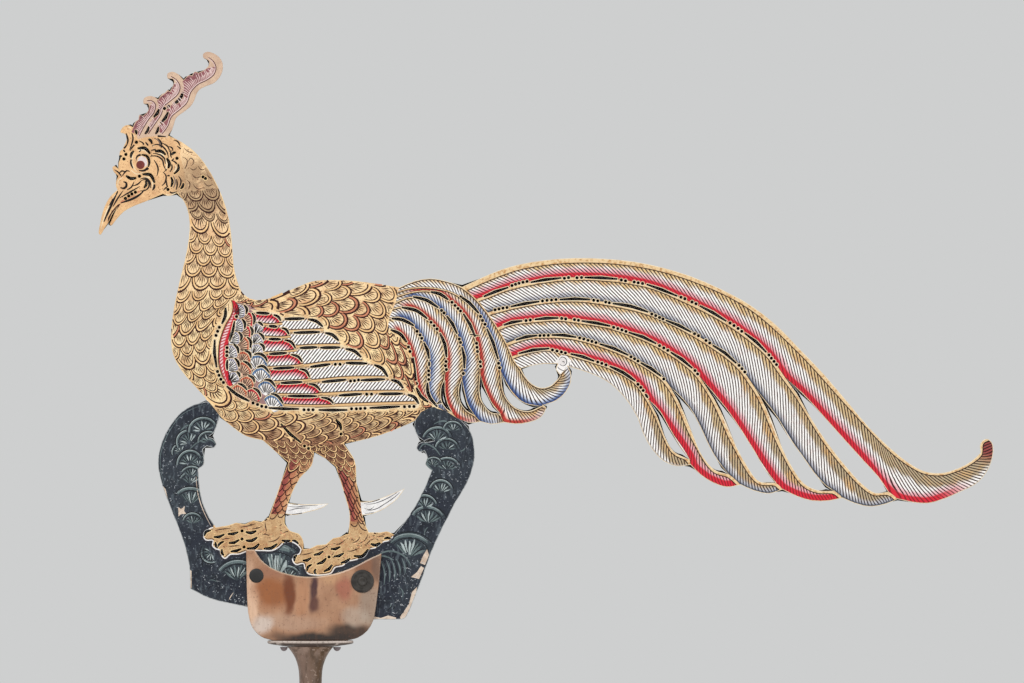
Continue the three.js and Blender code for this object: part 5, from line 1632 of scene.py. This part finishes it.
def horn_material():
    """Translucent pale horn with wandering brown and maroon clouds, painted shade low right and painted
    highlight on top.
    """
    shader = Shader("pale_horn")
    drift = shader.add("TexNoise", Vector=shader.place, Scale=70.0).outputs["Color"]
    drift = shader.vector("SUBTRACT", drift, (0.5, 0.5, 0.5))
    wandering = shader.vector("MULTIPLY_ADD", drift, (0.008, 0.008, 0.008), shader.place)
    colour = shader.mix(shader.spots(0.014, 0.35, 0.7), (186, 142, 110), (164, 120, 90))
    for (u, v), (wide, high), strength, tint in HORN_CLOUDS_AND_PAINTED_LIGHT:
        x, z = spot(u, v)
        offset = shader.vector("SUBTRACT", wandering, (x, 0, z))
        offset = shader.vector("MULTIPLY", offset, (1 / (wide * UNIT), 0, 1 / (high * UNIT)))
        away = shader.vector("LENGTH", offset)
        colour = shader.over(colour, shader.span(away, 1.25, 0.45), strength, tint)
    fibres = shader.upright(0.2)
    colour = shader.over(colour, shader.spots(0.0016, 0.45, 0.75, 4.0, fibres), 0.22, (128, 84, 58))
    colour = shader.over(colour, shader.spots(0.0011, 0.6, 0.7, 5.0), 0.45, (96, 62, 46))
    # painted highlight on faces turned up, painted shade on faces turned down
    facing_up = shader.split(shader.coordinates["Normal"])[2]
    colour = shader.mix(shader.span(facing_up, 0.25, 0.7), colour, (240, 216, 188))
    colour = shader.over(colour, shader.span(facing_up, -0.25, -0.7), 0.6, (112, 84, 66))
    height = shader.plus(shader.noise(0.002, place=fibres), shader.noise(0.012))
    return shader.finish(colour, 0.3, (height, 0.12, 0.0006), Coat_Weight=0.3, Coat_Roughness=0.2)


def metal_material(name, base, second, size, metallic):
    """Dull dark metal, mottled in grains of about that size."""
    shader = Shader(name)
    colour = shader.mix(shader.spots(size, 0.38, 0.66, 5.0), base, second)
    return shader.finish(colour, 0.5, (shader.noise(size / 3, 4.0), 0.4, 0.0003), Metallic=metallic)


def stem_material():
    """Dark horn: grey-brown at the left, partly a painted highlight, golden brown at the right, paler under
    the collar.
    """
    shader = Shader("dark_horn")
    x, _, z = shader.split(shader.place)
    wander = shader.times(shader.minus(shader.noise(0.01), 0.5), 0.008)
    # the lighter left side is partly a painted highlight over the horn's own tone
    colour = shader.mix(shader.span(shader.plus(x, wander), -0.004, 0.006), (122, 98, 84), (86, 60, 34))
    grain = shader.upright(0.3)
    colour = shader.over(colour, shader.spots(0.0022, 0.45, 0.7, 5.0, grain), 0.6, (66, 48, 32))
    colour = shader.over(colour, shader.spots(0.0016, 0.58, 0.7, 4.0), 0.7, (168, 146, 132))
    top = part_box("handle_stem")[1].z
    pale = shader.times(shader.span(z, top - 0.012, top - 0.004), shader.spots(0.004, 0.4, 0.6))
    colour = shader.over(colour, pale, 0.6, (150, 126, 112))
    height = shader.plus(shader.noise(0.0016, 4.0, grain), shader.noise(0.004))
    return shader.finish(colour, 0.4, (height, 0.5, 0.0008))


def collar_material(name, light, dark):
    """Horn with a painted highlight at its upper edge and on faces turned up, painted shade beneath, pale in
    random patches.
    """
    shader = Shader(name)
    facing_up = shader.split(shader.coordinates["Normal"])[2]
    z = shader.split(shader.place)[2]
    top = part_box("collar")[1].z
    # painted highlight on faces turned up and along the upper edge; faces turned down get the dark colour as
    # painted shade
    lit = shader.most(shader.span(facing_up, -0.1, 0.5), shader.span(z, top - 0.0016, top - 0.0006))
    lit = shader.most(lit, shader.times(shader.spots(0.007, 0.5, 0.62), 0.7))
    colour = shader.over(shader.mix(lit, dark, light), shader.spots(0.0015, 0.5, 0.7, 4.0), 0.5, dark)
    return shader.finish(colour, 0.3, (shader.noise(0.003), 0.4, 0.0005))


def dress(material, *nodes):
    for name in nodes:
        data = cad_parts[name].data
        data.materials.clear()
        data.materials.append(material)


def turned(name, rows, material, node, upright=True, sides=96, wobble=0.0, ring=False):
    """A turned piece over the node. Each row is a place along its axis and its half width and depth there;
    a ring's last row joins its first. The axis is upright, or else runs through the leather."""
    low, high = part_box(node)
    middle = (low + high) / 2
    angle = np.linspace(0, 2 * math.pi, sides, endpoint=False)
    places = []
    for at, wide, deep in np.array(rows, float):
        for turn in angle:
            place = Vector((math.cos(turn) * wide, math.sin(turn) * deep, at))
            swell = 1 + wobble * noise.noise(place * 160) + wobble * noise.noise(place * 420)
            x, y = place.x * swell, place.y * swell
            places.append((middle.x + x, middle.y + y, at) if upright else (middle.x + x, at, middle.z + y))
    polygons = []
    for i in range(len(rows) if ring else len(rows) - 1):
        here, after = i * sides, (i + 1) % len(rows) * sides
        for j in range(sides):
            beside = (j + 1) % sides
            polygons.append((here + j, here + beside, after + beside, after + j))
    if not ring:
        polygons += [tuple(range(sides)), tuple(range((len(rows) - 1) * sides, len(rows) * sides))]
    mesh = bpy.data.meshes.new(name)
    mesh.from_pydata(places, [], polygons)
    shape = bmesh.new()
    shape.from_mesh(mesh)
    bmesh.ops.recalc_face_normals(shape, faces=shape.faces)
    shape.to_mesh(mesh)
    shape.free()
    mesh.shade_smooth()
    mesh.set_sharp_from_angle(angle=math.radians(40))
    mesh.materials.append(material)
    piece = new_piece(name, mesh)
    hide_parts(node)


def half_size(node):
    """The node's box, and half its width and depth."""
    low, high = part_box(node)
    return low, high, (high.x - low.x) / 2, (high.y - low.y) / 2


def levels(node):
    """The node's height, half width and half depth, level by level."""
    widest = {}
    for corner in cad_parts[node].data.vertices:
        level = round(corner.co.z, 6)
        wide, deep = widest.get(level, (0, 0))
        widest[level] = (max(wide, abs(corner.co.x)), max(deep, abs(corner.co.y)))
    return [(z, *widest[z]) for z in sorted(widest)]


def build_metal():
    """The rivets: a flat head at the left; at the right a peened end with a dimple over a washer."""
    rivet = metal_material("dark_rivet", (22, 21, 20), (12, 11, 10), 0.002, 0.0)
    metal = metal_material("grey_metal", (58, 54, 50), (36, 32, 28), 0.004, 0.3)
    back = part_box("left_burr")[1].y
    for node, material, seat in (("left_rivet", rivet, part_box("front_cheek")[0].y),
                                 ("right_rivet", metal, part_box("right_washer")[0].y)):
        low, high, head, _ = half_size(node)
        rise = seat - low.y
        rows = [(low.y, head * 0.8), (low.y + rise * 0.15, head * 0.93), (low.y + rise * 0.5, head),
                (seat, head)]
        if node == "right_rivet":
            floor = low.y + DIMPLE_DEPTH
            rows = [(floor, head * 0.1), (floor, head * 0.35), (low.y, head * 0.5), *rows]
        rows += [(seat, SHANK_RADIUS), (back, SHANK_RADIUS), (back, PEEN_RADIUS),
                 (high.y - 0.0002, PEEN_RADIUS * 0.9), (high.y, PEEN_RADIUS * 0.7)]
        turned(node + "_dressed", [(y, r, r) for y, r in rows], material, node, upright=False, sides=64)
    low, high, wide, _ = half_size("right_washer")
    rows = [(low.y, WASHER_BORE), (low.y, wide * 0.62), (low.y + 0.0001, wide * 0.68), (low.y, wide * 0.74),
            (low.y, wide * 0.92), (low.y + 0.0003, wide), (high.y, wide), (high.y, WASHER_BORE)]
    rows = [(y, r, r) for y, r in rows]
    turned("washer_dressed", rows, metal, "right_washer", upright=False, sides=64, ring=True)
    dress(metal, "left_burr", "right_burr")


def build_handle():
    """The stem follows its solid level by level. The collar's edge is rolled, with resin lumps below it."""
    stem = np.array(levels("handle_stem"))
    tenon, shoulder = stem[-1], stem[-2]
    foot, *rest = smooth(stem[:-1], 0.004)
    rows = [(foot[0], foot[1] * 0.7, foot[2] * 0.7), (foot[0] + 0.0005, foot[1], foot[2]), *rest]
    rows += [(shoulder[0], tenon[1], tenon[2]), tenon]
    turned("stem_dressed", rows, stem_material(), "handle_stem", wobble=0.012)
    low, high, wide, deep = half_size("collar")
    rows = [(low.z + (high.z - low.z) * rise, shoulder[1] + (wide - shoulder[1]) * share,
             shoulder[2] + (deep - shoulder[2]) * share) for rise, share in COLLAR_ROLL]
    bore = tenon[1] + TENON_GAP
    rows += [(high.z, bore, bore), (low.z, bore, bore)]
    horn = collar_material("collar_horn", (196, 182, 172), (66, 50, 42))
    turned("collar_dressed", rows, horn, "collar", ring=True, wobble=0.008)
    resin = collar_material("resin", (196, 190, 194), (120, 108, 110))
    for node in ("resin_lump_left", "resin_lump_right"):
        low, high, radius, _ = half_size(node)
        rows = [(high.z - (high.z - low.z) * math.cos(a), radius * math.sin(a), radius * math.sin(a))
                for a in np.linspace(0.15, math.pi / 2, 8)]
        turned(node + "_dressed", rows, resin, node, sides=32, wobble=0.03)


dress(horn_material(), "front_cheek", "back_cheek")
build_metal()
build_handle()


def build_floor():
    bpy.ops.mesh.primitive_circle_add(vertices=96, radius=1.6, fill_type="NGON",
                                      location=(STAGE_CENTRE[0], 0.0, cad_box[0][2] - 0.0005))
    floor = bpy.context.active_object
    floor.name = "floor"
    shader = Shader("pale_floor")
    colour = shader.mix(shader.noise(0.05), (226, 225, 222), (220, 219, 216))
    floor.data.materials.append(shader.finish(colour, 0.9))


def build_world():
    """Soft white light from all round, behind a pale grey that the camera sees, also in what shines."""
    world = bpy.data.worlds.new("studio")
    bpy.context.scene.world = world
    world.use_nodes = True
    tree = world.node_tree
    tree.nodes.clear()
    output, light, seen, path, blend = (tree.nodes.new("ShaderNode" + kind) for kind in (
        "OutputWorld", "Background", "Background", "LightPath", "MixShader"))
    light.inputs["Color"].default_value = (1, 1, 1, 1)
    light.inputs["Strength"].default_value = 0.42
    seen.inputs["Color"].default_value = linear((206, 207, 207))
    shown = path.outputs["Is Camera Ray"]
    for ray in ("Is Glossy Ray", "Is Transmission Ray"):
        either = tree.nodes.new("ShaderNodeMath")
        either.operation = "MAXIMUM"
        tree.links.new(shown, either.inputs[0])
        tree.links.new(path.outputs[ray], either.inputs[1])
        shown = either.outputs[0]
    for socket, value in zip(blend.inputs, (shown, light.outputs[0], seen.outputs[0])):
        tree.links.new(value, socket)
    tree.links.new(blend.outputs[0], output.inputs[0])


def add_to_scene(name, data, place):
    holder = bpy.data.objects.new(name, data)
    holder.location = place
    bpy.context.scene.collection.objects.link(holder)
    return holder


def build_lamps():
    for name, place, power, size in LAMPS:
        lamp = bpy.data.lights.new(name, "AREA")
        lamp.energy = power
        lamp.size = size
        aim = Vector(STAGE_CENTRE) - Vector(place)
        add_to_scene(name, lamp, place).rotation_euler = aim.to_track_quat("-Z", "Y").to_euler()


def build_camera():
    """Level and square to the sheet, so that the drawing's units are the picture's pixels."""
    camera = bpy.data.cameras.new("camera")
    camera.sensor_width = SENSOR
    camera.sensor_fit = "HORIZONTAL"
    camera.lens = SENSOR * (CAMERA_DISTANCE - HALF_SHEET) / (VIEW_WIDTH * UNIT)
    x, z = spot(*VIEW_CENTRE)
    holder = add_to_scene("camera", camera, (x, -CAMERA_DISTANCE, z))
    holder.rotation_euler = (math.pi / 2, 0, 0)
    bpy.context.scene.camera = holder
    bpy.context.scene.view_settings.view_transform = "Standard"


build_floor()
build_world()
build_lamps()
build_camera()
bpy.context.view_layer.update()
